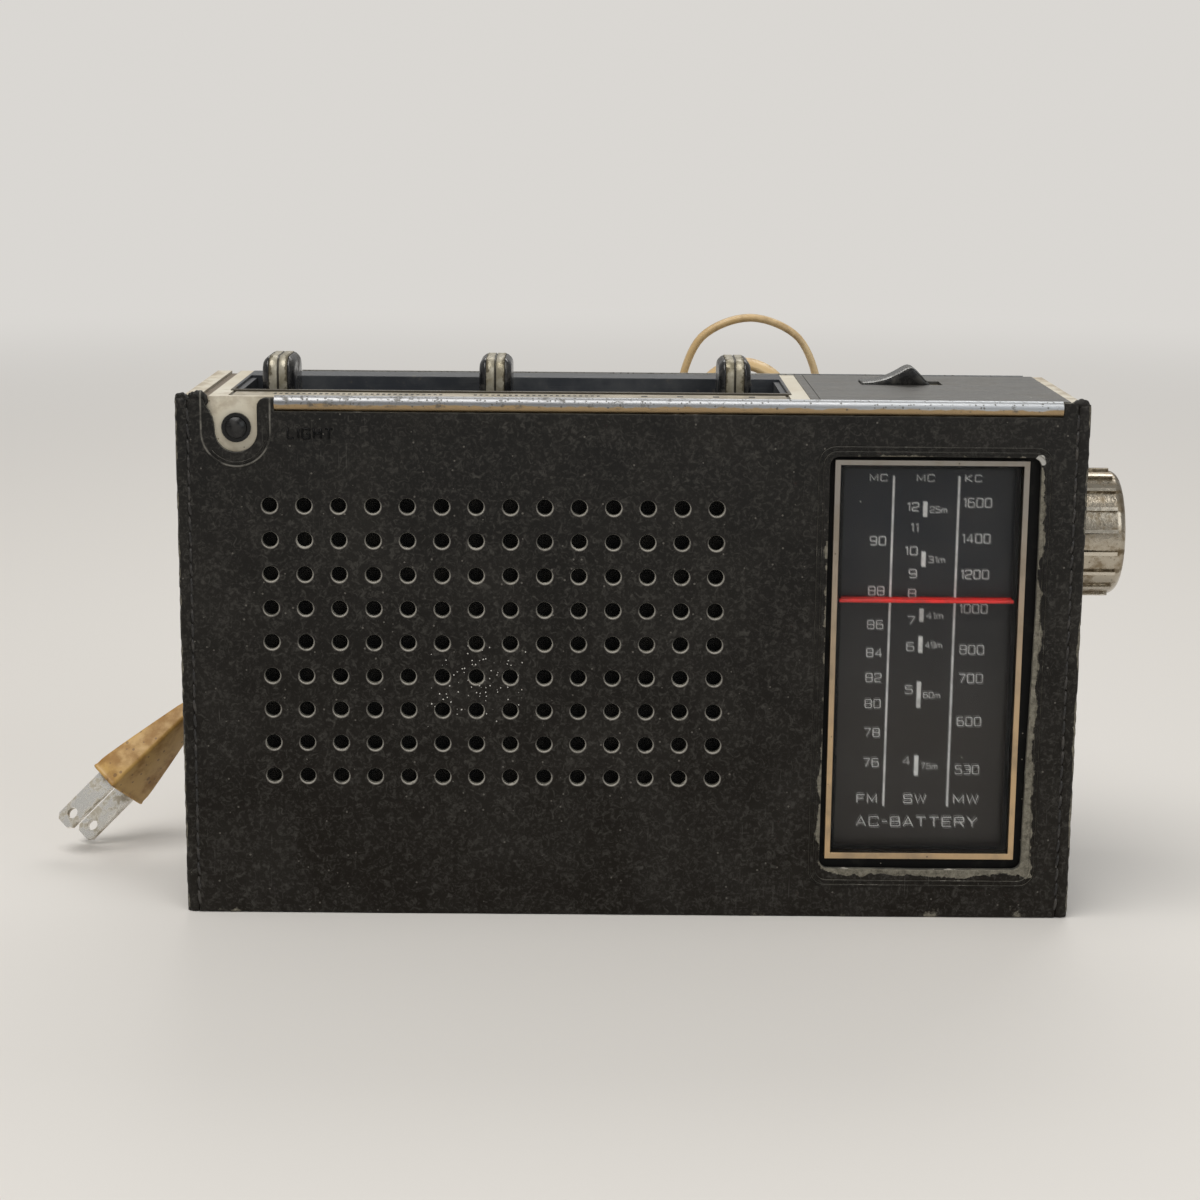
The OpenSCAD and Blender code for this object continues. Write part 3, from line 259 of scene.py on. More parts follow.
SOCKETS = {int: "NodeSocketInt", float: "NodeSocketFloat", tuple: "NodeSocketVector",
           str: "NodeSocketMaterial"}
ORIGIN = (0.0, 0.0, 0.0)


class Group(Net):
    """A node group with named inputs, each set to its usual value, and one output."""

    def __init__(self, kind, name, output, inputs):
        super().__init__(bpy.data.node_groups.new(name, kind + "NodeTree"))
        for label, value in inputs.items():
            socket = self.tree.interface.new_socket(name=label, in_out="INPUT",
                                                    socket_type=SOCKETS[type(value)])
            if value:
                socket.default_value = value
        result = "NodeSocketGeometry" if kind == "Geometry" else "NodeSocketFloat"
        self.tree.interface.new_socket(name=output, in_out="OUTPUT", socket_type=result)
        self.given = self.tree.nodes.new("NodeGroupInput").outputs
        self.result = self.tree.nodes.new("NodeGroupOutput").inputs[output]


# Soft-edged patches, for grime, fading, scuffs and worn places: Lean pushes them to one region.
patching = Group("Shader", "worn_patches", "Mask", {
    "Vector": ORIGIN, "Size": 0.01, "Level": 0.6, "Softness": 0.05, "Lean": 0.0})
given = patching.given
cloudy = patching.node("ShaderNodeTexNoise", {
    "Vector": given["Vector"], "Scale": patching.maths("DIVIDE", 1.0, given["Size"]), "Detail": 7.0,
    "Roughness": 0.62})
patching.feed(patching.result, patching.node("ShaderNodeMapRange", {
    "Value": patching.maths("ADD", cloudy, given["Lean"]),
    "From Min": patching.maths("SUBTRACT", given["Level"], given["Softness"]),
    "From Max": patching.maths("ADD", given["Level"], given["Softness"])},
    interpolation_type="SMOOTHSTEP"))

# Scattered specks of dirt or paint: Share is the part of the cells that hold one.
specking = Group("Shader", "scattered_specks", "Mask", {
    "Vector": ORIGIN, "Pitch": 0.002, "Radius": 0.25, "Share": 0.3})
given = specking.given
cells = specking.parts("ShaderNodeTexVoronoi", {
    "Vector": given["Vector"], "Scale": specking.maths("DIVIDE", 1.0, given["Pitch"])})
lot = specking.parts("ShaderNodeSeparateColor", {0: cells["Color"]})
held = specking.maths("LESS_THAN", lot[0], given["Share"])
disc = specking.maths("LESS_THAN", cells["Distance"], specking.maths("MULTIPLY", lot[1], given["Radius"]))
specking.feed(specking.result, specking.maths("MULTIPLY", disc, held))


class Coat(Net):
    """A material in the making: its tree, its shader and each point's place on the piece, in metres."""

    def __init__(self, name, colour, rough, metal=0.0):
        self.material = bpy.data.materials.new(name)
        self.material.use_nodes = True
        super().__init__(self.material.node_tree)
        self.shader = self.tree.nodes["Principled BSDF"].inputs
        self.shader["Base Color"].default_value = (*colour, 1)
        self.shader["Roughness"].default_value = rough
        self.shader["Metallic"].default_value = metal
        self.at = self.parts("ShaderNodeTexCoord")["Object"]

    def along(self, axis):
        """How far each point is along X, Y or Z."""
        return self.parts("ShaderNodeSeparateXYZ", {0: self.at})[axis]

    def ramp(self, value, low, high, first=0.0, last=1.0):
        """A value carried from the range low to high over to the range first to last, and held there."""
        return self.node("ShaderNodeMapRange", {
            "Value": value, "From Min": low, "From Max": high, "To Min": first, "To Max": last})

    def spread(self, mask, first, last):
        """A mask from 0 to 1 stretched between two values."""
        return self.ramp(mask, 0.0, 1.0, first, last)

    def mix(self, mask, below, over, share=None):
        """Two colours, or the colours of two sockets, blended by a mask or by a share of it."""
        mask = mask if share is None else self.spread(mask, 0.0, share)
        below, over = ((*c, 1) if isinstance(c, tuple) else c for c in (below, over))
        return self.parts("ShaderNodeMix", {0: mask, 6: below, 7: over}, data_type="RGBA")[2]

    def effect(self, group, **inputs):
        """A shared effect with its own values, laid out on the piece."""
        return self.node("ShaderNodeGroup", {"Vector": self.at, **inputs}, node_tree=group.tree)

    def patches(self, size, level, softness, lean=0.0):
        return self.effect(patching, Size=size, Level=level, Softness=softness, Lean=lean)

    def specks(self, pitch, radius, share):
        return self.effect(specking, Pitch=pitch, Radius=radius, Share=share)

    def stretched(self, scale, turn=ORIGIN):
        """The piece's coordinates turned and stretched, for marks that run one way."""
        return self.node("ShaderNodeMapping", {"Vector": self.at, "Rotation": turn, "Scale": scale})

    def noise(self, scale, detail=2.0, rough=0.5, distortion=0.0, at=None):
        return self.node("ShaderNodeTexNoise", {
            "Vector": at or self.at, "Scale": scale, "Detail": detail, "Roughness": rough,
            "Distortion": distortion})

    def waves(self, scale, bands, distortion=0.0):
        return self.node("ShaderNodeTexWave", {"Vector": self.at, "Scale": scale, "Distortion": distortion},
                         bands_direction=bands)

    def colour(self, tone):
        self.feed(self.shader["Base Color"], tone)

    def rough(self, mask, first=0.0, last=1.0):
        """The shader's roughness from a mask, spread between two values where they are given."""
        mask = mask if (first, last) == (0.0, 1.0) else self.spread(mask, first, last)
        self.feed(self.shader["Roughness"], mask)

    def raised(self, height, depth, strength=1.0, below=None):
        """Fine relief of that depth in metres on the shader's normal, over any relief below."""
        under = {"Normal": below} if below else {}
        bump = self.node("ShaderNodeBump", {
            "Height": height, "Distance": depth, "Strength": strength, **under})
        self.feed(self.shader["Normal"], bump)
        return bump

    def cover(self, *pieces):
        """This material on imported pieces, in place of their plain one."""
        for piece in pieces:
            for slot in nodes[piece].material_slots:
                slot.material = self.material


m = Coat("lead_vinyl", (0.62, 0.44, 0.22), 0.38)
fading_and_reflection = m.patches(0.03, 0.5, 0.16)
soiled = m.patches(0.006, 0.6, 0.1)
tone = m.mix(fading_and_reflection, (0.56, 0.38, 0.17), (0.70, 0.53, 0.30))
tone = m.mix(m.maths("MULTIPLY", soiled, 0.55), tone, (0.30, 0.19, 0.09))
m.colour(tone)
m.rough(soiled, 0.34, 0.6)
m.raised(m.noise(900.0, 3.0), 0.00006, 0.5)

lead = [Vector(p) * MM for p in lead_route]
coil = [Vector(p) * MM for p in coil_points()]
tail = [Vector(p) * MM for p in tail_route]
cord_path = refined(refined(refined(lead + coil + tail)))
twin_outline = [(side * CORD_THIN / 2 + CORD_THIN / 2 * math.cos(a), CORD_THIN / 2 * math.sin(a))
                for side, first in ((1, -60), (-1, 120))
                for a in (math.radians(first + 20 * k) for k in range(7))]
plug_turn = (Matrix.Rotation(math.radians(17), 3, "Z") @ Matrix.Rotation(math.radians(46.5), 3, "Y")
             @ Matrix.Rotation(math.radians(44), 3, "Z"))
wide_keys = [
    (0, Vector((0, 0, 1))), (0.012, Vector((0, 0, 1))), (0.05, Vector((0, 1, 0))),
    (0.25, Vector((0, 1, 0))), (0.31, Vector((0, 0.3, 1))), (0.33, Vector((0, 0, 1))),
    (0.94, Vector((0, 0, 1))), (1.0, plug_turn @ Vector((1, 0, 0)))]


def cord_wide(share, place):
    for (s0, w0), (s1, w1) in zip(wide_keys, wide_keys[1:]):
        if share <= s1:
            return w0.lerp(w1, smooth_step((share - s0) / (s1 - s0)))
    return wide_keys[-1][1]


cord = swept("mains_cord", cord_path, twin_outline, cord_wide)
cord.data.materials.append(m.material)
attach(cord, "radio")
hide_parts("cord_lead", "cord_coil", "cord_tail")

# ---------------------------------------------------------------- mains plug
# A one-piece moulded vinyl plug on two flat nickel-plated blades. Its flat front has a thin moulding
# lip, and the body tapers to the cord; years of handling have left brown specks in the vinyl.
plug_origin = Vector((-147.7, 27.6, 17.8)) * MM
PLUG_WIDE, PLUG_THIN, PLUG_LONG = 9.75, 4.98, 31.0
PLUG_NECK = (4.0, 2.2)
PLUG_CORNER = 1.1


def lofted(name, rings, smooth=True):
    """A closed skin over rings of equally many points, with its two ends filled."""
    mesh = bmesh.new()
    loops = [[mesh.verts.new(point) for point in ring] for ring in rings]
    skinned(mesh, loops)
    mesh.faces.new(loops[0][::-1])
    mesh.faces.new(loops[-1])
    return mesh_object(name, mesh, smooth)


def rounded_section(half_u, half_v, corner, steps=4):
    """Points round a rectangle with rounded corners, as pairs."""
    corner = min(corner, half_u * 0.98, half_v * 0.98)
    points = []
    for turn, (su, sv) in enumerate(((1, 1), (-1, 1), (-1, -1), (1, -1))):
        for step in range(steps + 1):
            a = math.radians(90 * turn + 90 * step / steps)
            points.append((su * (half_u - corner) + corner * math.cos(a),
                           sv * (half_v - corner) + corner * math.sin(a)))
    return points


plug_rings = []
for along, inset in (
        (0.02, 0.9), (0.02, 0.35), (0.25, 0.06), (0.6, 0.0), (0.95, 0.12), (1.3, 0.2), (2.2, 0.2),
        (3.2, 0.2), (5, 0.18), (8, 0.12), (11, 0.08), (14, 0.05), (17, 0.04), (20, 0.03), (23, 0.03),
        (26, 0.03), (29, 0.05), (30.4, 0.12), (30.9, 0.4)):
    share_u = min(max((along - 4) / (PLUG_LONG - 4), 0), 1)
    share_v = min(max((along - 3) / (PLUG_LONG - 3), 0), 1)
    half_u = PLUG_WIDE + (PLUG_NECK[0] - PLUG_WIDE) * share_u - inset
    half_v = PLUG_THIN + (PLUG_NECK[1] - PLUG_THIN) * share_v - inset
    plug_rings.append([plug_origin + plug_turn @ Vector((u, v, along)) * MM
                       for u, v in rounded_section(half_u, half_v, PLUG_CORNER)])
plug = lofted("plug_moulding", plug_rings)

m = Coat("plug_vinyl", (0.58, 0.40, 0.19), 0.42)
stain = m.patches(0.008, 0.52, 0.12)
dirt = m.specks(0.0016, 0.42, 0.45)
tone = m.mix(stain, (0.58, 0.36, 0.115), (0.35, 0.18, 0.04))
tone = m.mix(m.maths("MULTIPLY", dirt, 0.65), tone, (0.17, 0.09, 0.035))
m.colour(tone)
m.rough(stain, 0.36, 0.55)
m.raised(m.noise(420.0, 5.0), 0.0002, 0.45)
plug.data.materials.append(m.material)
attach(plug, "radio")
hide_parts("plug_body")

m = Coat("blade_nickel", (0.72, 0.70, 0.65), 0.26, 1.0)
tarnish = m.patches(0.003, 0.53, 0.08)
scratch = m.noise(1.0, 4.0, at=m.stretched((300, 2500, 2500), (0.5, 0.9, 0.3)))
m.colour(m.mix(tarnish, (0.95, 0.93, 0.88), (0.50, 0.46, 0.38)))
m.rough(tarnish, 0.27, 0.5)
m.raised(scratch, 0.00003, 0.6)
m.cover("plug_blades")

m = Coat("gland_rubber", (0.022, 0.02, 0.018), 0.62)
bloom = m.patches(0.005, 0.55, 0.14)
m.colour(m.mix(bloom, (0.02, 0.018, 0.017), (0.075, 0.07, 0.062)))
m.raised(m.noise(1500.0, 3.0), 0.00005, 0.5)
m.cover("cord_gland")

# ---------------------------------------------------------------- leather case
# Five panels of black top-coated leather, 1.8 mm thick, sewn at the four upright corners. The front is
# punched for the speaker and cut out for the dial; the topcoat has flaked at the cuts and corners.
case_low, case_high = (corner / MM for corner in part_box("case_front"))
back_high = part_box("case_back")[1] / MM
XL, XR, YF, YB, TOP = case_low.x, case_high.x, case_low.y, back_high.y, case_high.z
LEATHER = 1.8
SEAM_IN = 3.4
RIM = 0.34
GRID_STEP = 5.0
CUT_LEFT, CUT_RIGHT, CUT_LOW, CUT_HIGH, CUT_CORNER = 51.0, 105.7, 13.5, 124.5, 2.5
BAR_LEFT, BAR_RIGHT, BAR_LOW = -92.4, 110.8, 135.0
BUTTON = Vector((-102.3, 130.6))


def arc_points(cx, cy, radius, first, last, steps):
    """Points along an arc, from one angle to another in degrees."""
    return [
        (cx + radius * math.cos(math.radians(first + (last - first) * k / steps)),
        cy + radius * math.sin(math.radians(first + (last - first) * k / steps))) for k in range(steps + 1)]


def rounded_box(left, right, low, high, corner, steps=6):
    """An outline of a rectangle with round corners."""
    return (arc_points(right - corner, low + corner, corner, -90, 0, steps)
            + arc_points(right - corner, high - corner, corner, 0, 90, steps)
            + arc_points(left + corner, high - corner, corner, 90, 180, steps)
            + arc_points(left + corner, low + corner, corner, 180, 270, steps))


def grown(name, pattern, **values):
    """The mesh that a geometry node tree makes with those values."""
    host = placed(name, bpy.data.meshes.new(name))
    grower = host.modifiers.new("grown", "NODES")
    grower.node_group = pattern.tree
    for item in pattern.tree.interface.items_tree:
        if item.in_out == "INPUT" and item.name in values:
            grower[item.identifier] = values[item.name]
    evaluated = host.evaluated_get(bpy.context.evaluated_depsgraph_get())
    mesh = bpy.data.meshes.new_from_object(evaluated)
    host.modifiers.clear()
    bpy.data.objects.remove(host)
    return mesh


# The punch pattern: one ring at each point of an even grid.
punching = Group("Geometry", "punch_pattern", "Geometry", {
    "Columns": 14, "Rows": 9, "Pitch Across": 0.009, "Pitch Up": 0.009, "Radius": 0.002, "Sides": 24})
given = punching.given
across = punching.maths("MULTIPLY", punching.maths("SUBTRACT", given["Columns"], 1.0), given["Pitch Across"])
up = punching.maths("MULTIPLY", punching.maths("SUBTRACT", given["Rows"], 1.0), given["Pitch Up"])
grid = punching.node("GeometryNodeMeshGrid", {
    "Size X": across, "Size Y": up, "Vertices X": given["Columns"], "Vertices Y": given["Rows"]})
ring = punching.node("GeometryNodeMeshCircle", {"Vertices": given["Sides"], "Radius": given["Radius"]})
punched = punching.node("GeometryNodeInstanceOnPoints", {"Points": grid, "Instance": ring})
punching.feed(punching.result, punching.node("GeometryNodeRealizeInstances", {0: punched}))

HOLES, HOLE_ROWS, PITCH_X, PITCH_Z, HOLE_R, HOLE_SIDES = 14, 9, 8.92, 9.05, 2.0, 24
FIELD = Vector((-36.0, 74.4))
punches = grown("punches", punching, **{
    "Columns": HOLES, "Rows": HOLE_ROWS, "Pitch Across": PITCH_X, "Pitch Up": PITCH_Z, "Radius": HOLE_R,
    "Sides": HOLE_SIDES})
punch_loops = [[(FIELD.x + punches.vertices[first + k].co.x, FIELD.y + punches.vertices[first + k].co.y)
                for k in range(HOLE_SIDES)] for first in range(0, len(punches.vertices), HOLE_SIDES)]


def leather_sheet(name, outlines, facing, depth):
    """A sheet with rounded cut edges: outlines in mm on its plane, and its outer face at that depth.

    facing is the outward direction, -Y, Y, -X, X or -Z; the sheet goes inwards from depth.
    """
    flat = bpy.data.curves.new(name, "CURVE")
    flat.dimensions = "2D"
    flat.fill_mode = "BOTH"
    flat.bevel_depth = RIM * MM
    flat.bevel_resolution = 2
    flat.offset = -RIM * MM
    flat.extrude = (LEATHER / 2 - RIM) * MM
    for outline in outlines:
        spline = flat.splines.new("POLY")
        spline.points.add(len(outline) - 1)
        for point, (u, v) in zip(spline.points, outline):
            point.co = (u * MM, v * MM, 0, 1)
        spline.use_cyclic_u = True
    holder = placed(name, flat)
    evaluated = holder.evaluated_get(bpy.context.evaluated_depsgraph_get())
    mesh = bmesh.new()
    mesh.from_mesh(bpy.data.meshes.new_from_object(evaluated))
    bpy.data.objects.remove(holder)
    bmesh.ops.remove_doubles(mesh, verts=mesh.verts, dist=0.00001)
    low = Vector([min(v.co[i] for v in mesh.verts) for i in range(3)])
    high = Vector([max(v.co[i] for v in mesh.verts) for i in range(3)])
    for axis in (0, 1):
        cut = Vector((1, 0, 0)) if axis == 0 else Vector((0, 1, 0))
        count = int((high[axis] - low[axis]) / (GRID_STEP * MM))
        for k in range(1, count):
            spot = low + (high - low) * (k / count)
            bmesh.ops.bisect_plane(mesh, geom=mesh.verts[:] + mesh.edges[:] + mesh.faces[:], plane_co=spot,
                                   plane_no=cut, dist=0.000002)
    centre = (depth - LEATHER / 2 * (1 if depth > 0 else -1)) * MM
    turn = {
        "-Y": lambda p: Vector((p.x, centre - p.z, p.y)),
        "Y": lambda p: Vector((p.x, centre + p.z, p.y)),
        "-X": lambda p: Vector((centre - p.z, p.x, p.y)),
        "X": lambda p: Vector((centre + p.z, p.x, p.y)),
        "-Z": lambda p: Vector((p.x, p.y, LEATHER / 2 * MM - p.z)),
    }[facing]
    for vertex in mesh.verts:
        vertex.co = turn(vertex.co)
    return mesh


def settle(name, mesh, relief=None):
    """The finished panel: its relief pressed in, its normals true to the flat faces."""
    if relief:
        for vertex in mesh.verts:
            vertex.co += relief(vertex.co / MM) * MM
    made = mesh_object(name, mesh)
    firm = made.modifiers.new("normals", "WEIGHTED_NORMAL")
    firm.weight = 90
    evaluated = made.evaluated_get(bpy.context.evaluated_depsgraph_get())
    made.data = bpy.data.meshes.new_from_object(evaluated)
    made.modifiers.clear()
    return made


def bead(mesh, route, half, height, normal, closed=False):
    """A low tooled ridge on a sheet's face, along a route of points in mm, added to the mesh."""
    rings = []
    last = len(route) - 1
    for i, place in enumerate(route):
        before = route[i - 1] if i or closed else place
        after = route[(i + 1) % len(route)] if i < last or closed else place
        side = (after - before).normalized().cross(normal).normalized()
        rings.append([mesh.verts.new((place + side * half * c + normal * height * s) * MM) for c, s in (
            (-1, -0.4), (-0.75, 0.55), (-0.3, 0.95), (0.3, 0.95), (0.75, 0.55), (1, -0.4))])
    skinned(mesh, rings, closed)
    if not closed:
        mesh.faces.new(rings[0])
        mesh.faces.new(rings[-1][::-1])


def soft_wave(u, v, seed):
    """A slow, small unevenness, from three crossed waves."""
    return (math.sin(u * 0.083 + seed) * math.cos(v * 0.071 - seed * 1.7)
            + 0.6 * math.sin(u * 0.19 - v * 0.13 + seed * 2.3)
            + 0.35 * math.sin(u * 0.41 + v * 0.37 + seed * 3.1)) / 1.95


front_left, front_right = XL + SEAM_IN, XR - SEAM_IN
front_outline = (
    [(front_left, 0.15), (-60, 0.0), (0, 0.1), (60, 0.0), (front_right, 0.2), (front_right, TOP - 1.0)]
    + arc_points(front_right - 1.0, TOP - 1.2, 1.0, 20, 90, 4)
    + [(BAR_RIGHT, TOP - 0.3), (BAR_RIGHT, BAR_LOW), (60, BAR_LOW), (0, BAR_LOW), (BAR_LEFT, BAR_LOW),
       (BAR_LEFT, TOP - 0.6)]
    + arc_points(-94.4, TOP - 2.9, 2.4, 75, 180, 6) + arc_points(BUTTON.x, 129.8, 5.5, 0, -180, 18)
    + [(-107.9, 131.6), (-108.2, 133.2), (-109.0, 135.0), (-110.1, 136.6)]
    + arc_points(-111.9, TOP - 2.2, 1.7, 30, 120, 4) + [(front_left, TOP - 1.4)])
cut_out = (
    arc_points(CUT_LEFT + CUT_CORNER, CUT_LOW + CUT_CORNER, CUT_CORNER, 180, 270, 6) + [(78, CUT_LOW - 0.1)]
    + arc_points(CUT_RIGHT - 0.9 - CUT_CORNER, CUT_LOW + CUT_CORNER, CUT_CORNER, 270, 360, 6)
    + [(CUT_RIGHT - 0.6, 45), (CUT_RIGHT + 0.1, 80), (CUT_RIGHT + 0.1, 105)]
    + arc_points(CUT_RIGHT - CUT_CORNER, CUT_HIGH - CUT_CORNER, CUT_CORNER, 0, 90, 6)
    + [(78, CUT_HIGH + 0.1)]
    + arc_points(CUT_LEFT + CUT_CORNER, CUT_HIGH - CUT_CORNER, CUT_CORNER, 90, 180, 6))


def front_relief(p):
    """Slow waves, a slight lift round the cut-out and a sink between the perforations."""
    lift = 0.11 * soft_wave(p.x, p.z, 0.7)
    near = max(abs(p.x - 78.3) - 27.3, abs(p.z - 69) - 55.5)
    lift += 0.14 * math.exp(-max(near, 0) / 3.0)
    inside = min(66 - abs(p.x - FIELD.x), 44 - abs(p.z - FIELD.y))
    if inside > 0:
        lift -= 0.1 * min(inside / 12, 1)
    return Vector((0, 0.06 - lift, 0))


front_mesh = leather_sheet("case_leather_front", [front_outline, cut_out] + punch_loops, "-Y", YF)
facing_front = Vector((0, -1, 0))
for inset in (0.0, 1.25):
    ridge = rounded_box(48.4 + inset, 108.5 - inset, 8.9 + inset, 126.9 - inset, 4.2 - inset * 0.7, 7)
    route = [Vector((x, YF + 0.02, z)) for x, z in ridge]
    bead(front_mesh, route, 0.3, 0.34, facing_front, closed=True)
NOTCH_Z, NOTCH_R = 129.6, 8.9
notch_line = [(-93.4, 134.2), (-93.4, 132)] + arc_points(BUTTON.x, NOTCH_Z, NOTCH_R, 0, -142, 20)
for inset in (0.0, 0.95):
    pull = (NOTCH_R - inset) / NOTCH_R
    route = [Vector((BUTTON.x + (x - BUTTON.x) * pull, YF + 0.02,
                     NOTCH_Z + (z - NOTCH_Z) * (pull if z < NOTCH_Z else 1))) for x, z in notch_line]
    bead(front_mesh, route, 0.26, 0.3, facing_front)
front_leather = settle("case_leather_front", front_mesh, front_relief)

LOW_TOP = TOP - 2.1
back_outline = (
    [(-front_right, 0.15), (0, 0.0), (front_right, 0.1), (front_right, LOW_TOP - 1.0)]
    + arc_points(front_right - 1.0, LOW_TOP - 1.0, 1.0, 20, 90, 4)
    + [(BAR_RIGHT, LOW_TOP - 0.1), (BAR_RIGHT, BAR_LOW), (BAR_LEFT, BAR_LOW), (BAR_LEFT, LOW_TOP - 0.2)]
    + arc_points(-front_right + 1.0, LOW_TOP - 1.0, 1.0, 90, 160, 4))
door_low, door_high = (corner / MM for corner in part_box("battery_cover"))
gland_low, gland_high = (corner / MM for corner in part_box("cord_gland"))
gland_x, gland_z = (gland_low.x + gland_high.x) / 2, (gland_low.z + gland_high.z) / 2
door_cut = rounded_box(door_low.x + 1.9, door_high.x - 1.9, door_low.z + 1.9, door_high.z - 1.9, 3)
back_mesh = leather_sheet(
    "case_leather_back", [back_outline, door_cut, arc_points(gland_x, gland_z, 5.2, 0, 345, 23)], "Y", YB)
ridge = rounded_box(door_low.x - 0.4, door_high.x + 0.4, door_low.z - 0.4, door_high.z + 0.4, 4.2, 7)
route = [Vector((x, YB - 0.02, z)) for x, z in ridge]
bead(back_mesh, route, 0.3, 0.16, Vector((0, 1, 0)), closed=True)
route = [Vector((x, YB - 0.02, z)) for x, z in arc_points(gland_x, gland_z, 8.2, 0, 348, 29)]
bead(back_mesh, route, 0.3, 0.16, Vector((0, 1, 0)), closed=True)
back_leather = settle("case_leather_back", back_mesh,
                      lambda p: Vector((0, 0.12 * soft_wave(p.x, p.z, 2.1) - 0.12, 0)))

side_leathers = []
knob_low, knob_high = (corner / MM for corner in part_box("tuning_knob"))
knob_y, knob_z = (knob_low.y + knob_high.y) / 2, (knob_low.z + knob_high.z) / 2
for name, facing, depth, seed in (("case_leather_left", "-X", XL, 4.2),
                                  ("case_leather_right", "X", XR, 5.9)):
    outlines = [rounded_box(YF + LEATHER + 0.05, YB - LEATHER - 0.05, 0.1, LOW_TOP, 0.9, 4)]
    if facing == "X":
        outlines.append(arc_points(knob_y, knob_z, 7.0, 0, 350, 35))
    mesh = leather_sheet(name, outlines, facing, depth)
    outward = Vector((-1 if facing == "-X" else 1, 0, 0))
    for z in (3.0, LOW_TOP - 3.0):
        route = [Vector((depth - outward.x * 0.1, y, z)) for y in (-26, -13, 0, 13, 26)]
        bead(mesh, route, 0.3, 0.16, outward)
    side_leathers.append(settle(name, mesh, lambda p, seed=seed, outward=outward:
                                outward * (0.16 * soft_wave(p.y * 1.3, p.z, seed) - 0.17)))
base_outline = rounded_box(XL + LEATHER, XR - LEATHER, YF + LEATHER, YB - LEATHER, 1)
base_leather = settle("case_leather_base", leather_sheet("case_leather_base", [base_outline], "-Z", 0.0))

# Turned edge strips outside the seams: the front and back leather wraps the corner and is sewn through.
STRIP = [(3.34, 0.95), (3.3, 0.3), (2.95, 0.05), (2.3, -0.04), (1.5, -0.02), (0.8, 0.1), (0.3, 0.42),
         (0.04, 1.0), (0.02, 1.7), (0.12, 2.02), (1.68, 2.02), (1.78, 1.8), (3.3, 1.78)]
CORNERS = (("front_left", -1, -1), ("front_right", 1, -1), ("back_left", -1, 1), ("back_right", 1, 1))
strip_random = random.Random(17)
corner_strips = []
for corner, sx, sy in CORNERS:
    rings = []
    rough = 0.3 if sy < 0 else 0.1
    steps = 120
    dents = [strip_random.uniform(-1, 1) for _ in range(steps + 1)]
    for k in range(steps + 1):
        strip_top = TOP - 0.9 if sy < 0 else LOW_TOP - 0.2
        z = 0.15 + strip_top * k / steps
        shrink = 0.35 * max(0, (z - strip_top + 1.6) / 2) ** 2 + 1.1 * max(0, (2.8 - z) / 2.8) ** 2.5
        dent = rough * (0.6 * dents[k] + 0.4 * dents[max(k - 1, 0)]) + 0.05 * math.sin(z * 0.55 + sx)
        ring = []
        for a, b in STRIP:
            outer = 1.0 if a < 1.6 and b < 1.5 else 0.35 if b < 0.3 else 0
            push = max(dent * outer, -0.02) + shrink * (0.6 if b < 1.6 else 0)
            ring.append(Vector(((XR if sx > 0 else XL) - sx * (a + (push if a < 1.0 else 0)),
                                (YF if sy < 0 else YB) - sy * (b + (push if b < 0.5 else 0)), z)) * MM)
        rings.append(ring)
    corner_strips.append(lofted("seam_strip_" + corner, rings))

# Where the front leather turns over the top corners it has rolled up into hard, creased folds.
for name, route in (("rolled_corner_left", [(-116.9, -29.6, 136.6, 0.9), (-116.75, -30.6, 138.1, 1.1),
                                            (-115.7, -30.9, 138.5, 1.15), (-114.6, -30.9, 138.0, 0.95),
                                            (-113.3, -30.9, 138.6, 1.15), (-111.7, -30.9, 138.95, 1.2),
                                            (-110.5, -30.9, 138.4, 1.05), (-109.9, -31.0, 137.4, 0.7),
                                            (-109.9, -31.1, 136.3, 0.4)]),
                    ("rolled_corner_right", [(112.6, -31.1, 136.9, 0.6), (113.4, -30.9, 138.0, 0.85),
                                             (114.7, -30.9, 138.5, 1.1), (116.1, -30.8, 138.4, 1.2),
                                             (116.8, -30.2, 137.3, 1.05), (116.9, -29.4, 136.0, 0.8)])):
    rings = []
    steps = 8 * (len(route) - 1)
    for k in range(steps + 1):
        i, t = min(k // 8, len(route) - 2), k / 8 - min(k // 8, len(route) - 2)
        a, b, c, d = (Vector(route[min(max(i + j, 0), len(route) - 1)]) for j in (-1, 0, 1, 2))
        here = ((b * 2 + (c - a) * t + (a * 2 - b * 5 + c * 4 - d) * t * t + (b * 3 - a - c * 3 + d)
                 * t ** 3) / 2)
        heading = ((c - a) * (1 - t) + (d - b) * t).xyz.normalized()
        across = heading.cross(Vector((0, 1, 0.01))).normalized()
        upright = across.cross(heading)
        taper = min(1, 0.35 + 0.9 * min(k, steps - k) / 5)
        ring = []
        for turn in (math.tau * m / 20 for m in range(20)):
            crease = 1 + 0.1 * math.sin(3 * turn + here.x * 2.3) + 0.09 * math.sin(here.x * 7.1 + 2 * turn)
            outwards = across * math.cos(turn) + upright * math.sin(turn)
            ring.append((here.xyz + outwards * here.w * taper * crease) * MM)
        rings.append(ring)
    corner_strips.append(lofted(name, rings))

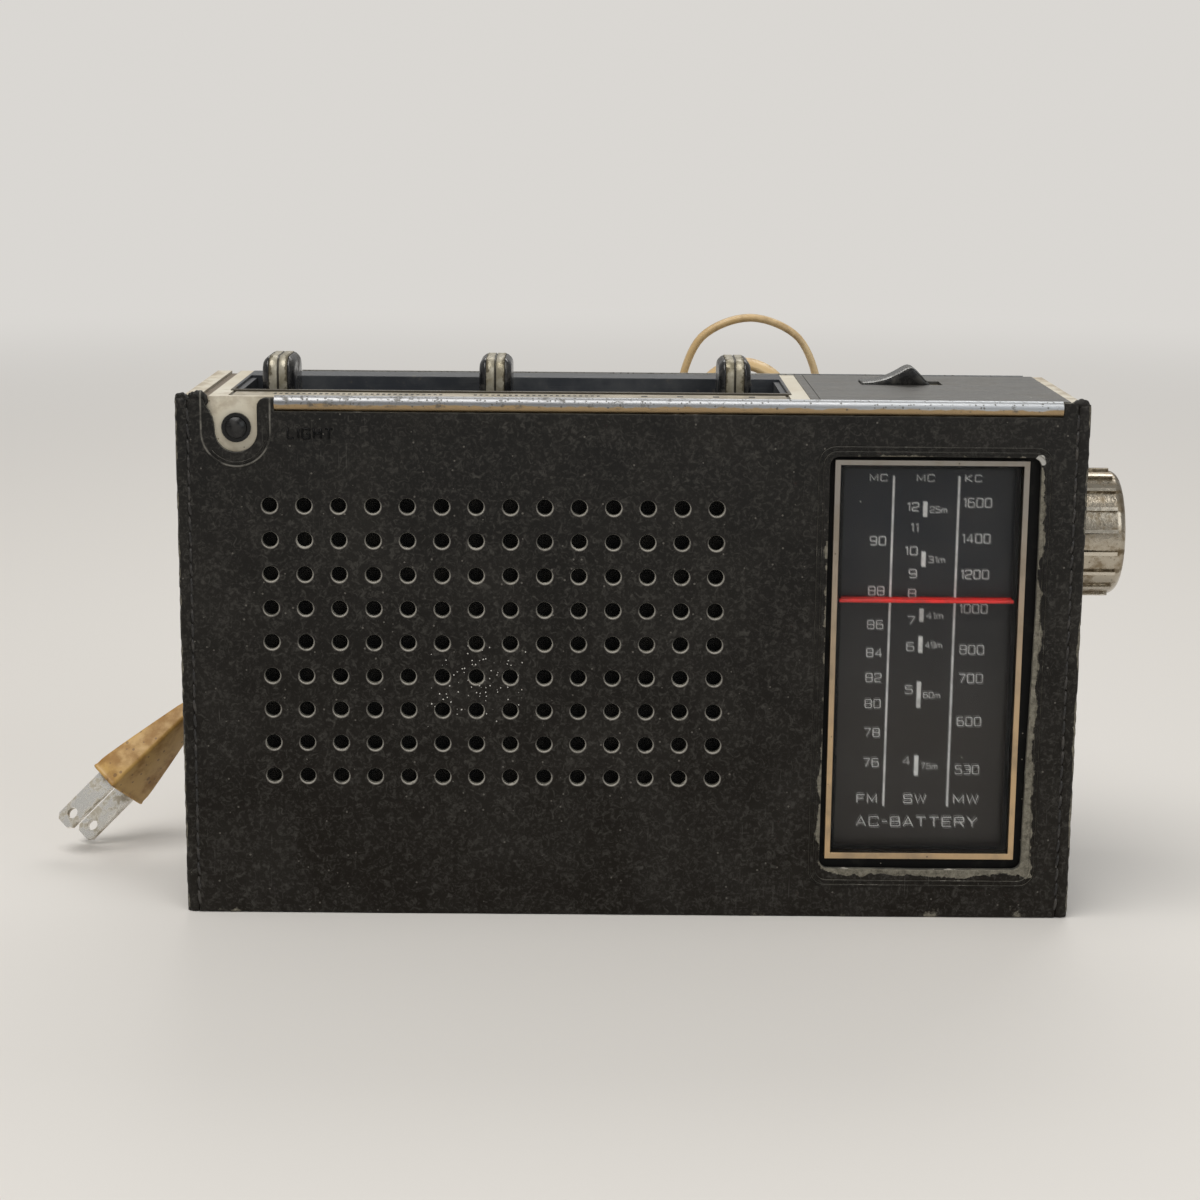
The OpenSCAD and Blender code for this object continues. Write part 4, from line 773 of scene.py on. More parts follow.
# Stitches in the seams: short lengths of waxed thread that dive into their holes at both ends.
seam = Group("Geometry", "sewn_seam", "Geometry", {
    "Start": ORIGIN, "End": ORIGIN, "Stitches": 34, "Reach": ORIGIN, "Swell": ORIGIN, "Thread": 0.0003,
    "Unevenness": 0.08, "Seed": 1, "Material": ""})
given = seam.given
line = seam.node("GeometryNodeMeshLine", {
    "Count": given["Stitches"], "Start Location": given["Start"], "Offset": given["End"]}, mode="END_POINTS")
foot = seam.vectors("MULTIPLY", given["Reach"], (-1.0, 1.0, -1.0))
path = seam.node("GeometryNodeCurveQuadraticBezier", {
    "Resolution": 7, "Start": foot, "Middle": given["Swell"], "End": given["Reach"]})
section = seam.node("GeometryNodeCurvePrimitiveCircle", {"Resolution": 7, "Radius": given["Thread"]})
stitch = seam.node("GeometryNodeCurveToMesh", {"Curve": path, "Profile Curve": section, "Fill Caps": True})
sway = seam.parts("FunctionNodeRandomValue", {
    "Min": seam.maths("MULTIPLY", given["Unevenness"], -1.0), "Max": given["Unevenness"],
    "Seed": given["Seed"]}, data_type="FLOAT")["Value"]
sway = seam.node("ShaderNodeCombineXYZ", {"Y": sway, "Z": sway})
sewn = seam.node("GeometryNodeInstanceOnPoints", {"Points": line, "Instance": stitch, "Rotation": sway})
sewn = seam.node("GeometryNodeRealizeInstances", {0: sewn})
seam.feed(seam.result, seam.node("GeometryNodeSetMaterial", {
    "Geometry": sewn, "Material": given["Material"]}))

m = Coat("waxed_thread", (0.010, 0.009, 0.008), 0.45)
twist = m.waves(420.0, "DIAGONAL", 1.5)
dusty = m.patches(0.004, 0.55, 0.1)
m.colour(m.mix(dusty, (0.010, 0.009, 0.008), (0.045, 0.04, 0.034)))
m.raised(twist, 0.00012, 0.6)

stitch_rows = []
for corner, sx, sy in CORNERS:
    seam_x = (XR - SEAM_IN if sx > 0 else XL + SEAM_IN) * MM
    seam_y = (YF + 0.16 if sy < 0 else YB - 0.16) * MM
    sewing = grown("stitches_" + corner, seam, **{
        "Start": (seam_x, seam_y, 4 * MM), "End": (seam_x, seam_y, (TOP - 5.2) * MM), "Stitches": 33,
        "Reach": (0.16 * MM * sx, 0.5 * MM * -sy, 1.75 * MM), "Swell": (0, 0.5 * MM * sy, 0),
        "Thread": 0.46 * MM, "Unevenness": 0.09, "Seed": 5 + sx + 3 * sy, "Material": m.material})
    for face in sewing.polygons:
        face.use_smooth = True
    stitch_rows.append(placed("stitches_" + corner, sewing))

# Stroke lettering on a grid four wide and six high, as on engraved plates and printed dials.
LETTERS = {
    "0": [[(0, 0), (4, 0), (4, 6), (0, 6), (0, 0)]], "1": [[(0, 5), (1.3, 6), (1.3, 0)]],
    "2": [[(0, 4.7), (0, 6), (4, 6), (4, 3.2), (0, 2.2), (0, 0), (4, 0)]],
    "3": [[(0, 6), (4, 6), (4, 0), (0, 0)], [(1.2, 3.1), (4, 3.1)]],
    "4": [[(3.2, 0), (3.2, 6), (0, 1.7), (4.3, 1.7)]],
    "5": [[(3.9, 6), (0.1, 6), (0.1, 3.4), (4, 3.4), (4, 0), (0, 0), (0, 1)]],
    "6": [[(3.8, 6), (0, 6), (0, 0), (4, 0), (4, 3.4), (0, 3.4)]], "7": [[(0, 6), (4, 6), (1.5, 0)]],
    "8": [[(0, 0), (4, 0), (4, 6), (0, 6), (0, 0)], [(0, 3.1), (4, 3.1)]],
    "9": [[(0.2, 0), (4, 0), (4, 6), (0, 6), (0, 2.8), (4, 2.8)]],
    "A": [[(0, 0), (2.1, 6), (4.2, 0)], [(0.7, 1.8), (3.5, 1.8)]],
    "B": [[(0, 0), (0, 6), (3.8, 6), (3.8, 3.1), (0, 3.1)], [(3, 3.1), (4.1, 3.1), (4.1, 0), (0, 0)]],
    "C": [[(4, 4.7), (4, 6), (0, 6), (0, 0), (4, 0), (4, 1.3)]],
    "E": [[(4, 6), (0, 6), (0, 0), (4, 0)], [(0, 3.1), (3.6, 3.1)]],
    "F": [[(4, 6), (0, 6), (0, 0)], [(0, 3.1), (3.5, 3.1)]],
    "G": [[(4, 4.7), (4, 6), (0, 6), (0, 0), (4, 0), (4, 2.9), (2.3, 2.9)]],
    "H": [[(0, 0), (0, 6)], [(4, 0), (4, 6)], [(0, 3.1), (4, 3.1)]], "I": [[(0.1, 0), (0.1, 6)]],
    "K": [[(0, 0), (0, 6)], [(4, 6), (0.2, 3.1), (4.2, 0)]], "L": [[(0, 6), (0, 0), (3.6, 0)]],
    "M": [[(0, 0), (0, 6), (2.4, 1.2), (4.8, 6), (4.8, 0)]],
    "R": [[(0, 0), (0, 6), (4, 6), (4, 2.9), (0, 2.9)], [(2.2, 2.9), (4.1, 0)]],
    "S": [[(4, 4.8), (4, 6), (0, 6), (0, 3.1), (4, 3.1), (4, 0), (0, 0), (0, 1.2)]],
    "T": [[(0, 6), (4.2, 6)], [(2.1, 6), (2.1, 0)]],
    "W": [[(0, 6), (1.3, 0), (2.7, 5.6), (4.1, 0), (5.4, 6)]],
    "Y": [[(0, 6), (2.1, 2.8), (4.2, 6)], [(2.1, 2.8), (2.1, 0)]],
    "m": [[(0, 0), (0, 3.8), (5, 3.8), (5, 0)], [(2.5, 3.8), (2.5, 0)]], "-": [[(0, 3), (2.4, 3)]],
}


def softened(stroke, corner=0.8):
    """A stroke with its square corners rounded, and its sharp ones left sharp."""
    closed = stroke[0] == stroke[-1]
    made = [] if closed else [Vector(stroke[0])]
    inner = range(len(stroke) - 1) if closed else range(1, len(stroke) - 1)
    for i in inner:
        before, here, after = (Vector(stroke[(i + k) % (len(stroke) - 1)] if closed else stroke[i + k])
                               for k in (-1, 0, 1))
        into, out = (here - before).normalized(), (after - here).normalized()
        if abs(into.dot(out)) > 0.35:
            made.append(here)
            continue
        reach = min(corner, (here - before).length * 0.48, (after - here).length * 0.48)
        start, end = here - into * reach, here + out * reach
        made += [start.lerp(here, t).lerp(here.lerp(end, t), t) for t in (0, 0.25, 0.5, 0.75, 1)]
    return made + [made[0]] if closed else made + [Vector(stroke[-1])]


def lettering(text, place, height, width, gap=1.5, anchor=0.5):
    """The strokes of a line of text, as lists of points in mm; place is on the text's baseline."""
    strokes, pen = [], 0.0
    for letter in text:
        shape = LETTERS[letter]
        strokes += [[Vector((pen + p.x, p.y)) for p in softened(stroke)] for stroke in shape]
        pen += max(p[0] for stroke in shape for p in stroke) + gap
    pen -= gap
    scale_u, scale_v = width / pen, height / 6
    return [[Vector((place[0] + (p.x - pen * anchor) * scale_u, place[1] + p.y * scale_v)) for p in stroke]
            for stroke in strokes]


word_mesh = bmesh.new()
for stroke in lettering("LIGHT", (-83.1, 128.1), 2.5, 11.6, 2.2):
    bead(word_mesh, [Vector((p.x, YF - 0.1, p.y)) for p in stroke], 0.26, 0.2, facing_front)
light_word = mesh_object("light_marking", word_mesh)

# Where the topcoat has worn: the distance in metres outside a box, on the sheet's own plane.
beyond = Group("Shader", "outside_a_box", "Distance", {"Vector": ORIGIN, "Centre": ORIGIN, "Half": ORIGIN})
given = beyond.given
past = beyond.vectors("ABSOLUTE", beyond.vectors("SUBTRACT", given["Vector"], given["Centre"]))
past = beyond.parts("ShaderNodeSeparateXYZ", {0: beyond.vectors("SUBTRACT", past, given["Half"])})
beyond.feed(beyond.result, beyond.maths("MAXIMUM", beyond.maths("MAXIMUM", past["X"], past["Z"]), past["Y"]))

# The pale rim round each perforation, on the punch pattern's own grid: a painted highlight.
rim_highlight = Group("Shader", "perforation_rims", "Mask", {
    "Vector": ORIGIN, "Centre": ORIGIN, "Pitch": ORIGIN, "Radius": 0.002, "Width": 0.0004})
given = rim_highlight.given
half = rim_highlight.vectors("MULTIPLY", given["Pitch"], (0.5, 0.5, 0.5))
less = rim_highlight.vectors("MULTIPLY", given["Pitch"], (-0.5, -0.5, -0.5))
cell = rim_highlight.vectors("WRAP", rim_highlight.vectors("SUBTRACT", given["Vector"], given["Centre"]), half, less)
from_hole = rim_highlight.vectors("LENGTH", rim_highlight.vectors("MULTIPLY", cell, (1.0, 0.0, 1.0)))
rim_highlight.feed(rim_highlight.result, rim_highlight.node("ShaderNodeMapRange", {
    "Value": rim_highlight.maths("SUBTRACT", from_hole, given["Radius"]), "From Max": given["Width"],
    "To Min": 1.0, "To Max": 0.0}))

m = black_leather = Coat("black_leather", (0.0125, 0.0122, 0.012), 0.5)
m.shader["Specular IOR Level"].default_value = 0.17
cloud = m.patches(0.024, 0.54, 0.16)
rub = m.patches(0.0017, 0.61, 0.08)
dull = m.maths("MULTIPLY", rub, m.spread(cloud, 0.3, 1.0))
fine = m.noise(620.0, 5.0, rough=0.7, distortion=1.3)
fine = m.ramp(fine, 0.5, 0.72)
# Towards the bottom the leather is painted darker and browner: painted shade and a painted warm reflection
# of the table.
fading_and_reflection = m.ramp(m.along("Z"), 0.02, 0.125)
shade_and_reflection_tone = m.mix(fading_and_reflection, (0.0062, 0.0042, 0.0020), (0.0105, 0.0100, 0.0092))
tone = m.mix(cloud, shade_and_reflection_tone, (0.0215, 0.0195, 0.0165), 0.5)
tone = m.mix(fine, tone, (0.074, 0.070, 0.062), 0.7)
tone = m.mix(dull, tone, (0.062, 0.058, 0.052), 0.55)
scratch = m.noise(1.0, 2.0, at=m.stretched((2600, 600, 70), (0.0, 0.62, 0.0)))
scratch = m.ramp(scratch, 0.69, 0.74)
scratched = m.maths("MULTIPLY", scratch, m.patches(0.05, 0.56, 0.03))
tone = m.mix(scratched, tone, (0.11, 0.105, 0.095), 0.5)
flecks = m.specks(0.0026, 0.14, 0.34)
tone = m.mix(flecks, tone, (0.22, 0.205, 0.18), 0.45)

BEHIND_FRONT = -0.0295
on_front = m.maths("LESS_THAN", m.along("Y"), BEHIND_FRONT)
near_spill = m.effect(beyond, Centre=(-0.0405, 0.0, 0.0635), Half=(0.0055, 0.1, 0.0034))
spill_share = m.ramp(near_spill, -0.003, 0.0085, 0.85, 0.0)
spill = m.specks(0.00095, 0.36, spill_share)
tone = m.mix(m.maths("MULTIPLY", spill, on_front), tone, (0.62, 0.60, 0.56))

# Each pale rim is set a little below and right of its hole: a painted highlight on the lower rims.
rims = m.effect(rim_highlight, Centre=((FIELD.x + PITCH_X / 2 + 0.07) * MM, 0, (FIELD.y - 0.2) * MM),
                Pitch=(PITCH_X * MM, 1.0, PITCH_Z * MM), Radius=HOLE_R * MM, Width=0.00036)
in_field = m.effect(beyond, Centre=(FIELD.x * MM, 0.0, FIELD.y * MM), Half=(0.0625, 0.1, 0.0395))
rims = m.maths("MULTIPLY", m.maths("MULTIPLY", rims, on_front), m.maths("LESS_THAN", in_field, 0.0))
rims = m.maths("MULTIPLY", rims, m.spread(m.patches(0.0022, 0.42, 0.12), 0.45, 1.0))
tone = m.mix(rims, tone, (0.36, 0.34, 0.30))

CUT_CENTRE, CUT_HALF = (0.0783, 0.0, 0.069), (0.02735, 0.1, 0.0555)
past_cut = m.effect(beyond, Centre=CUT_CENTRE, Half=CUT_HALF)
fray_lean = m.ramp(past_cut, 0.0002, 0.0034, 0.2, -0.3)
right_bias = m.ramp(m.along("X"), 0.0512, 0.056, -0.2, 0.0)
left_spots = m.ramp(m.maths("ABSOLUTE", m.maths("SUBTRACT", m.along("Z"), 0.034)), 0.01, 0.017, 0.16, 0.0)
low_bias = m.ramp(m.along("Z"), 0.012, 0.018, 0.07, 0.0)
top_bias = m.ramp(m.along("Z"), 0.118, 0.124, 0.0, -0.21)
right_bias = m.maths("MINIMUM", m.maths("ADD", right_bias, left_spots), 0.0)
fray_lean = m.maths("ADD", fray_lean, m.maths("ADD", right_bias, m.maths("ADD", low_bias, top_bias)))
frayed = m.patches(0.007, 0.53, 0.012, fray_lean)
# A pale line along the tooled ridge round the notch: partly rubbed topcoat on its crest, partly a painted
# highlight.
under = m.maths("MINIMUM", m.maths("SUBTRACT", m.along("Z"), NOTCH_Z * MM), 0.0)
off_notch = m.node("ShaderNodeCombineXYZ", {0: m.maths("ADD", m.along("X"), 0.1023), 2: under})
off_notch = m.vectors("LENGTH", off_notch)
off_bead = m.maths("ABSOLUTE", m.maths("SUBTRACT", off_notch, NOTCH_R * MM))
crest_rub_and_highlight = m.ramp(off_bead, 0.00008, 0.00032, 0.9, 0.0)
crest_rub_and_highlight = m.maths("MULTIPLY", crest_rub_and_highlight, m.patches(0.006, 0.46, 0.12))
tone = m.mix(m.maths("MULTIPLY", crest_rub_and_highlight, on_front), tone, (0.17, 0.162, 0.142))
off_side = m.maths("SUBTRACT", m.maths("ABSOLUTE", m.along("X")), 0.118)
off_front = m.maths("SUBTRACT", m.maths("ABSOLUTE", m.along("Y")), 0.032)
by_corner = m.ramp(m.maths("MINIMUM", off_side, off_front), -0.0018, -0.0002, -0.4, 0.14)
flaked = m.patches(0.009, 0.53, 0.012, by_corner)
low_far = m.ramp(m.along("Z"), 0.0005, 0.005, -0.125, -0.24)
low_rubbed = m.patches(0.011, 0.5, 0.025, low_far)
bare = m.maths("MAXIMUM", m.maths("MULTIPLY", frayed, on_front), m.maths("MAXIMUM", flaked, low_rubbed))
fibre = m.noise(950.0, 5.0, rough=0.7)
fibre_tone = m.mix(m.spread(fibre, -0.6, 1.6), (0.055, 0.05, 0.037), (0.27, 0.25, 0.20))
tone = m.mix(bare, tone, fibre_tone)
off_chip = m.vectors("DISTANCE", m.at, (0.1054, -0.032, 0.1241))
chip_lean = m.ramp(off_chip, 0.0006, 0.0024, 0.3, -0.4)
chipped = m.patches(0.004, 0.5, 0.03, chip_lean)
tone = m.mix(m.maths("MULTIPLY", chipped, on_front), tone, (0.42, 0.41, 0.38))
m.colour(tone)
rough = m.maths("ADD", m.spread(cloud, 0.42, 0.54), m.spread(dull, 0.0, 0.12))
m.rough(m.maths("ADD", rough, m.spread(bare, 0.0, 0.3)))
grain = m.node("ShaderNodeTexVoronoi", {"Vector": m.at, "Scale": 1300.0}, feature="SMOOTH_F1")
creases = m.noise(260.0, 6.0, rough=0.6)
worn_flat = m.maths("MULTIPLY", grain, m.spread(cloud, 1.0, 0.4))
relief = m.maths("ADD", worn_flat, m.maths("MULTIPLY", creases, 1.6))
low_coat = m.raised(relief, 0.00011, 0.7)
m.raised(bare, -0.00022, 0.8, below=low_coat)

m = raw_edge = Coat("raw_leather_edge", (0.14, 0.13, 0.11), 0.85)
fibre = m.noise(1100.0, 6.0, rough=0.75)
dyed = m.patches(0.004, 0.5, 0.1)
pale = m.patches(0.007, 0.62, 0.03)
tone = m.mix(fibre, (0.07, 0.066, 0.05), (0.22, 0.21, 0.17))
tone = m.mix(dyed, tone, (0.03, 0.029, 0.026), 0.75)
tone = m.mix(pale, tone, (0.46, 0.44, 0.38))
m.colour(tone)
m.raised(fibre, 0.00035, 0.9)

leather_pieces = [front_leather, back_leather, base_leather, *side_leathers, *corner_strips, light_word]
for piece in leather_pieces:
    piece.data.materials.clear()
    piece.data.materials.append(black_leather.material)
    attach(piece, "radio")

# The pressed letters are painted darker than the leather: partly the darker pressed leather, partly painted
# shade of the grooves.
m = Coat("foil_black", (0.003, 0.003, 0.003), 0.35)
m.shader["Specular IOR Level"].default_value = 0.15
rubbed = m.patches(0.002, 0.6, 0.12)
m.colour(m.mix(rubbed, (0.002, 0.002, 0.002), (0.008, 0.0076, 0.007)))
light_word.data.materials[0] = m.material
for piece in (front_leather, back_leather):
    piece.data.materials.append(raw_edge.material)
    for face in piece.data.polygons:
        if abs(face.normal.y) < 0.35 and abs(face.center.x) < 0.113:
            face.material_index = 1
for row in stitch_rows:
    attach(row, "radio")
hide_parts("case_front")
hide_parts("case_back")
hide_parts("case_bottom")
for leather, cad in zip(side_leathers, ("case_side_left", "case_side_right")):
    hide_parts(cad)

# ---------------------------------------------------------------- cabinet, deck and battery cover
# Two halves and a deck of cream moulded plastic, yellowed with age, held by four screws at the back.
# Grime has settled along the edges of the leather; the deck is darker brown along its groove, and
# round the button a brown ring is painted shade near the leather's edge.
m = Coat("cream_plastic", (0.56, 0.48, 0.34), 0.42)
yellowed = m.patches(0.03, 0.5, 0.2)
tone = m.mix(yellowed, (0.70, 0.665, 0.56), (0.58, 0.51, 0.38))
past_deck = m.effect(beyond, Centre=(0.0, 0.0, 0.05), Half=(0.116, 0.036, 1.0))
edge_lean = m.ramp(past_deck, -0.006, 0.0, -0.06, 0.16)
grime = m.patches(0.006, 0.6, 0.13, edge_lean)
tone = m.mix(grime, tone, (0.20, 0.14, 0.08), 0.55)
# Darker brown along the deck's groove.
from_groove = m.maths("ABSOLUTE", m.maths("ADD", m.along("X"), 0.11075))
in_groove = m.ramp(from_groove, 0.00105, 0.00155, 1.0, 0.0)
DECK_FACE = 0.1372
on_deck = m.maths("GREATER_THAN", m.along("Z"), DECK_FACE)
in_groove = m.maths("MULTIPLY", in_groove, on_deck)
tone = m.mix(in_groove, tone, (0.075, 0.046, 0.024), 0.86)
# A brown ring round the button: painted shade near the leather's edge round the notch.
button_far = m.vectors("DISTANCE", m.at, (-0.1023, -0.03, 0.1306))
button_ring_shade = m.ramp(button_far, 0.0043, 0.0068, -0.2, 0.1)
button_ring_shade = m.patches(0.004, 0.57, 0.1, button_ring_shade)
near_button = m.maths("LESS_THAN", button_far, 0.0125)
button_ring_shade = m.maths("MULTIPLY", button_ring_shade, near_button)
tone = m.mix(button_ring_shade, tone, (0.26, 0.19, 0.12), 0.35)
spots = m.specks(0.0021, 0.16, 0.32)
tone = m.mix(spots, tone, (0.12, 0.075, 0.04), 0.7)
m.colour(tone)
m.rough(m.maths("MAXIMUM", grime, in_groove), 0.36, 0.68)
fine = m.noise(1.0, 3.0, at=m.stretched((90, 1900, 1900), (0.2, 0.1, 0.8)))
m.raised(fine, 0.00004, 0.55)
m.cover("cabinet_front", "cabinet_back", "top_deck", "battery_cover")

m = Coat("screw_steel", (0.52, 0.51, 0.48), 0.32, 1.0)
rust = m.patches(0.0016, 0.56, 0.08)
m.colour(m.mix(rust, (0.55, 0.54, 0.51), (0.20, 0.12, 0.07)))
m.rough(rust, 0.28, 0.62)
m.raised(m.noise(3000.0, 3.0), 0.00003, 0.5)
m.cover("cabinet_screws")

# ---------------------------------------------------------------- bright trim bars
# Half-round plated bars along the front and back edges of the top. The plating is pitted with small
# dark spots, most of them towards the left. Its colour is painted lighter towards the right, a painted
# reflection, and tan in patches along the underside, a painted reflection of the table.
m = Coat("bright_plating", (0.62, 0.62, 0.62), 0.24, 1.0)
pit_share = m.ramp(m.along("X"), -0.09, 0.05, 0.85, 0.3)
pits = m.specks(0.00072, 0.5, pit_share)
blot_lean = m.ramp(m.along("X"), -0.09, 0.06, 0.03, -0.06)
blots = m.patches(0.0026, 0.6, 0.07, blot_lean)
pits = m.maths("MAXIMUM", pits, blots)
upper = m.ramp(m.along("Z"), 0.1359, 0.1366)
pits = m.maths("MULTIPLY", pits, upper)
# Tan patches along the underside: a painted reflection of the table.
table_reflection_lean = m.ramp(m.along("Z"), 0.1362, 0.1376, 0.34, -0.34)
warm_table_reflection = m.patches(0.006, 0.5, 0.1, table_reflection_lean)
# Lighter towards the right: a painted reflection.
reflection_to_right = m.ramp(m.along("X"), -0.02, 0.085)
tone = m.mix(reflection_to_right, (0.31, 0.315, 0.325), (0.47, 0.49, 0.51))
tone = m.mix(warm_table_reflection, tone, (0.40, 0.29, 0.165))
tone = m.mix(pits, tone, (0.15, 0.145, 0.135), 0.8)
m.colour(tone)
m.rough(m.maths("ADD", m.spread(warm_table_reflection, 0.42, 0.46), m.spread(pits, 0.0, 0.2)))
m.raised(pits, -0.00004, 0.6)
m.cover("front_trim_bar", "back_trim_bar")

# ---------------------------------------------------------------- control tray and its scale strip
# A dark blue-grey moulded tray hung in the deck. Its front ledge carries a pale satin metal strip that
# is printed with rows of fine marks for the slides; dust and finger grease dull the trough.
m = Coat("tray_plastic", (0.036, 0.040, 0.047), 0.42)
dusty = m.patches(0.012, 0.55, 0.16)
smeared = m.patches(0.003, 0.66, 0.06)
tone = m.mix(dusty, (0.034, 0.038, 0.045), (0.085, 0.088, 0.09), 0.6)
tone = m.mix(smeared, tone, (0.14, 0.12, 0.085), 0.5)
lip = m.ramp(m.along("Z"), 0.1374, 0.1379)
lip = m.maths("MULTIPLY", lip, m.maths("LESS_THAN", m.along("Y"), -0.01))
tone = m.mix(lip, tone, (0.075, 0.060, 0.036), 0.8)
m.colour(tone)
m.rough(dusty, 0.36, 0.6)
wiped = m.noise(1.0, 4.0, at=m.stretched((60, 1500, 1500)))
m.raised(wiped, 0.00006, 0.6)
m.cover("slide_tray")


def mitred_ring(name, loops, ease):
    """Four mitred sides round an opening: each loop is four corners in mm, in order round the section."""
    mesh = bmesh.new()
    rows = [[mesh.verts.new(Vector(corner) * MM) for corner in loop] for loop in loops]
    skinned(mesh, rows, closed=True)
    bmesh.ops.bevel(mesh, geom=mesh.edges[:], offset=ease * MM, segments=2, profile=0.5, affect="EDGES")
    return mesh_object(name, mesh, smooth=False)


# The tray's rolled rim round the trough: a narrow lip in front and at the ends, broad over the back.
RIM_OUT, RIM_IN = (-105.5, 41.8, -17.5, 27.6), (-104.6, 40.9, -16.2, 16.4)
RIM_LOW, RIM_TOP = 138.15, 138.95
tray_rim = mitred_ring("tray_rim", [
    [(left, near, z), (right, near, z), (right, far, z), (left, far, z)]
    for (left, right, near, far), z in ((RIM_OUT, RIM_LOW), (RIM_OUT, RIM_TOP), (RIM_IN, RIM_TOP),
                                        (RIM_IN, RIM_LOW))], 0.18)
tray_rim.data.materials.append(m.material)
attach(tray_rim, "radio")

m = Coat("strip_satin", (0.50, 0.44, 0.34), 0.38, 0.6)
worn = m.patches(0.016, 0.52, 0.12)
greasy = m.patches(0.004, 0.6, 0.1)
tone = m.mix(worn, (0.58, 0.52, 0.41), (0.30, 0.27, 0.20))
tone = m.mix(greasy, tone, (0.22, 0.18, 0.11), 0.6)
m.colour(tone)
m.rough(greasy, 0.32, 0.55)
drawn = m.noise(1.0, 3.0, at=m.stretched((40, 3500, 3500)))
m.raised(drawn, 0.00003, 0.6)
m.cover("scale_strip")

# The printed marks: even rows of short bars, each a little longer or shorter than the next.
marks = Group("Geometry", "printed_marks", "Geometry", {
    "Start": ORIGIN, "End": ORIGIN, "Marks": 12, "Width": 0.0005, "Length": 0.002, "Ink": 0.00004,
    "Variation": 0.2, "Seed": 1, "Material": ""})
given = marks.given
line = marks.node("GeometryNodeMeshLine", {
    "Count": given["Marks"], "Start Location": given["Start"], "Offset": given["End"]}, mode="END_POINTS")
size = marks.node("ShaderNodeCombineXYZ", {"X": given["Width"], "Y": given["Length"], "Z": given["Ink"]})
bar = marks.node("GeometryNodeMeshCube", {"Size": size})
share = marks.parts("FunctionNodeRandomValue", {
    "Min": marks.maths("SUBTRACT", 1.0, given["Variation"]), "Max": 1.0, "Seed": given["Seed"]},
    data_type="FLOAT")["Value"]
share = marks.node("ShaderNodeCombineXYZ", {"X": 1.0, "Y": share, "Z": 1.0})
marked = marks.node("GeometryNodeInstanceOnPoints", {"Points": line, "Instance": bar, "Scale": share})
marked = marks.node("GeometryNodeRealizeInstances", {0: marked})
marks.feed(marks.result, marks.node("GeometryNodeSetMaterial", {
    "Geometry": marked, "Material": given["Material"]}))

m = Coat("scale_ink", (0.022, 0.02, 0.018), 0.5)
thin = m.patches(0.002, 0.58, 0.1)
m.colour(m.mix(thin, (0.02, 0.018, 0.016), (0.14, 0.12, 0.09)))
m.raised(thin, -0.00002, 0.5)

strip_low, strip_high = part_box("scale_strip")
middle = (strip_low.y + strip_high.y) / 2
high = strip_high.z + 0.02 * MM
for name, first, last, count, wide, seed in (("volume_marks", -93.0, -50.0, 30, 0.75, 3),
                                             ("tone_marks", -41.0, -9.0, 22, 0.75, 7),
                                             ("band_marks", 3.0, 31.0, 4, 1.6, 11)):
    row = placed(name, grown(name, marks, **{
        "Start": (first * MM, middle, high), "End": (last * MM, middle, high), "Marks": count,
        "Width": wide * MM, "Length": 2.6 * MM, "Ink": 0.06 * MM, "Variation": 0.5, "Seed": seed,
        "Material": m.material}))
    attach(row, "radio")

# ---------------------------------------------------------------- switch plate
# A brushed, dark anodised plate on the right of the deck. The lever's slot is cut through it and one
# fine line is scored beside the cream strip; its grain runs from side to side.
m = Coat("plate_anodised", (0.13, 0.127, 0.12), 0.42, 0.85)
grain = m.noise(1.0, 4.0, rough=0.7, at=m.stretched((22, 2600, 2600)))
streak = m.noise(1.0, 5.0, at=m.stretched((9, 420, 420)))
fingered = m.patches(0.011, 0.56, 0.14)
tone = m.mix(streak, (0.085, 0.083, 0.08), (0.20, 0.196, 0.185))
tone = m.mix(fingered, tone, (0.10, 0.092, 0.078), 0.5)
nicks = m.specks(0.004, 0.09, 0.35)
tone = m.mix(nicks, tone, (0.42, 0.41, 0.38))
m.colour(tone)
m.rough(fingered, 0.36, 0.5)
m.raised(grain, 0.00006, 0.8)
m.cover("switch_plate")

# ---------------------------------------------------------------- slide lever knobs
# Three lever knobs ride in the trough. Each has glossy black moulded cheeks and a plated band folded
# over the middle, split by one fine line; grease and dirt have darkened the band's edges.
m = lever_black = Coat("lever_black", (0.012, 0.012, 0.013), 0.24)
handled = m.patches(0.004, 0.58, 0.12)
m.colour(m.mix(handled, (0.011, 0.011, 0.012), (0.06, 0.056, 0.048)))
m.rough(handled, 0.2, 0.55)
m.raised(m.noise(700.0, 4.0), 0.00006, 0.5)

LEVER_TOP = 146.6
LEVER_CORNER = 4.3
BLACK_STEPS = [(-4.3, 2.3), (-4.22, 1.75), (-3.85, 1.1), (-3.1, 0.4), (-2.6, 0.16), (-2.46, 0.4),
               (2.46, 0.4), (2.6, 0.16), (3.1, 0.4), (3.85, 1.1), (4.22, 1.75), (4.3, 2.3)]
BAND_STEPS = [(-2.42, 0.42), (-2.42, 0.1), (-2.25, 0.0), (-0.26, 0.0), (-0.13, 0.25), (0.13, 0.25),
              (0.26, 0.0), (2.25, 0.0), (2.42, 0.1), (2.42, 0.42)]


def lever_rings(name, middle, steps):
    """The knob's side outline at each step across it: upright sides under a wide rounded top."""
    low, high = (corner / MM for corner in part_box(name))
    rings = []
    for across, inset in steps:
        side = rounded_box(low.y + inset, high.y - inset, low.z + inset, LEVER_TOP - inset,
                           LEVER_CORNER - 0.8 * inset, 7)
        rings.append([Vector((middle + across, y, z)) * MM for y, z in side])
    return rings


def stem_piece(name, low, size):
    """A small square post with eased edges: its lowest corner and its size in mm."""
    mesh = bmesh.new()
    bmesh.ops.create_cube(mesh, size=1.0, matrix=Matrix.Translation((low + size / 2) * MM)
                          @ Matrix.Diagonal((*(size * MM), 1)))
    bmesh.ops.bevel(mesh, geom=mesh.edges[:], offset=0.25 * MM, segments=2, profile=0.5, affect="EDGES")
    return mesh_object(name, mesh)


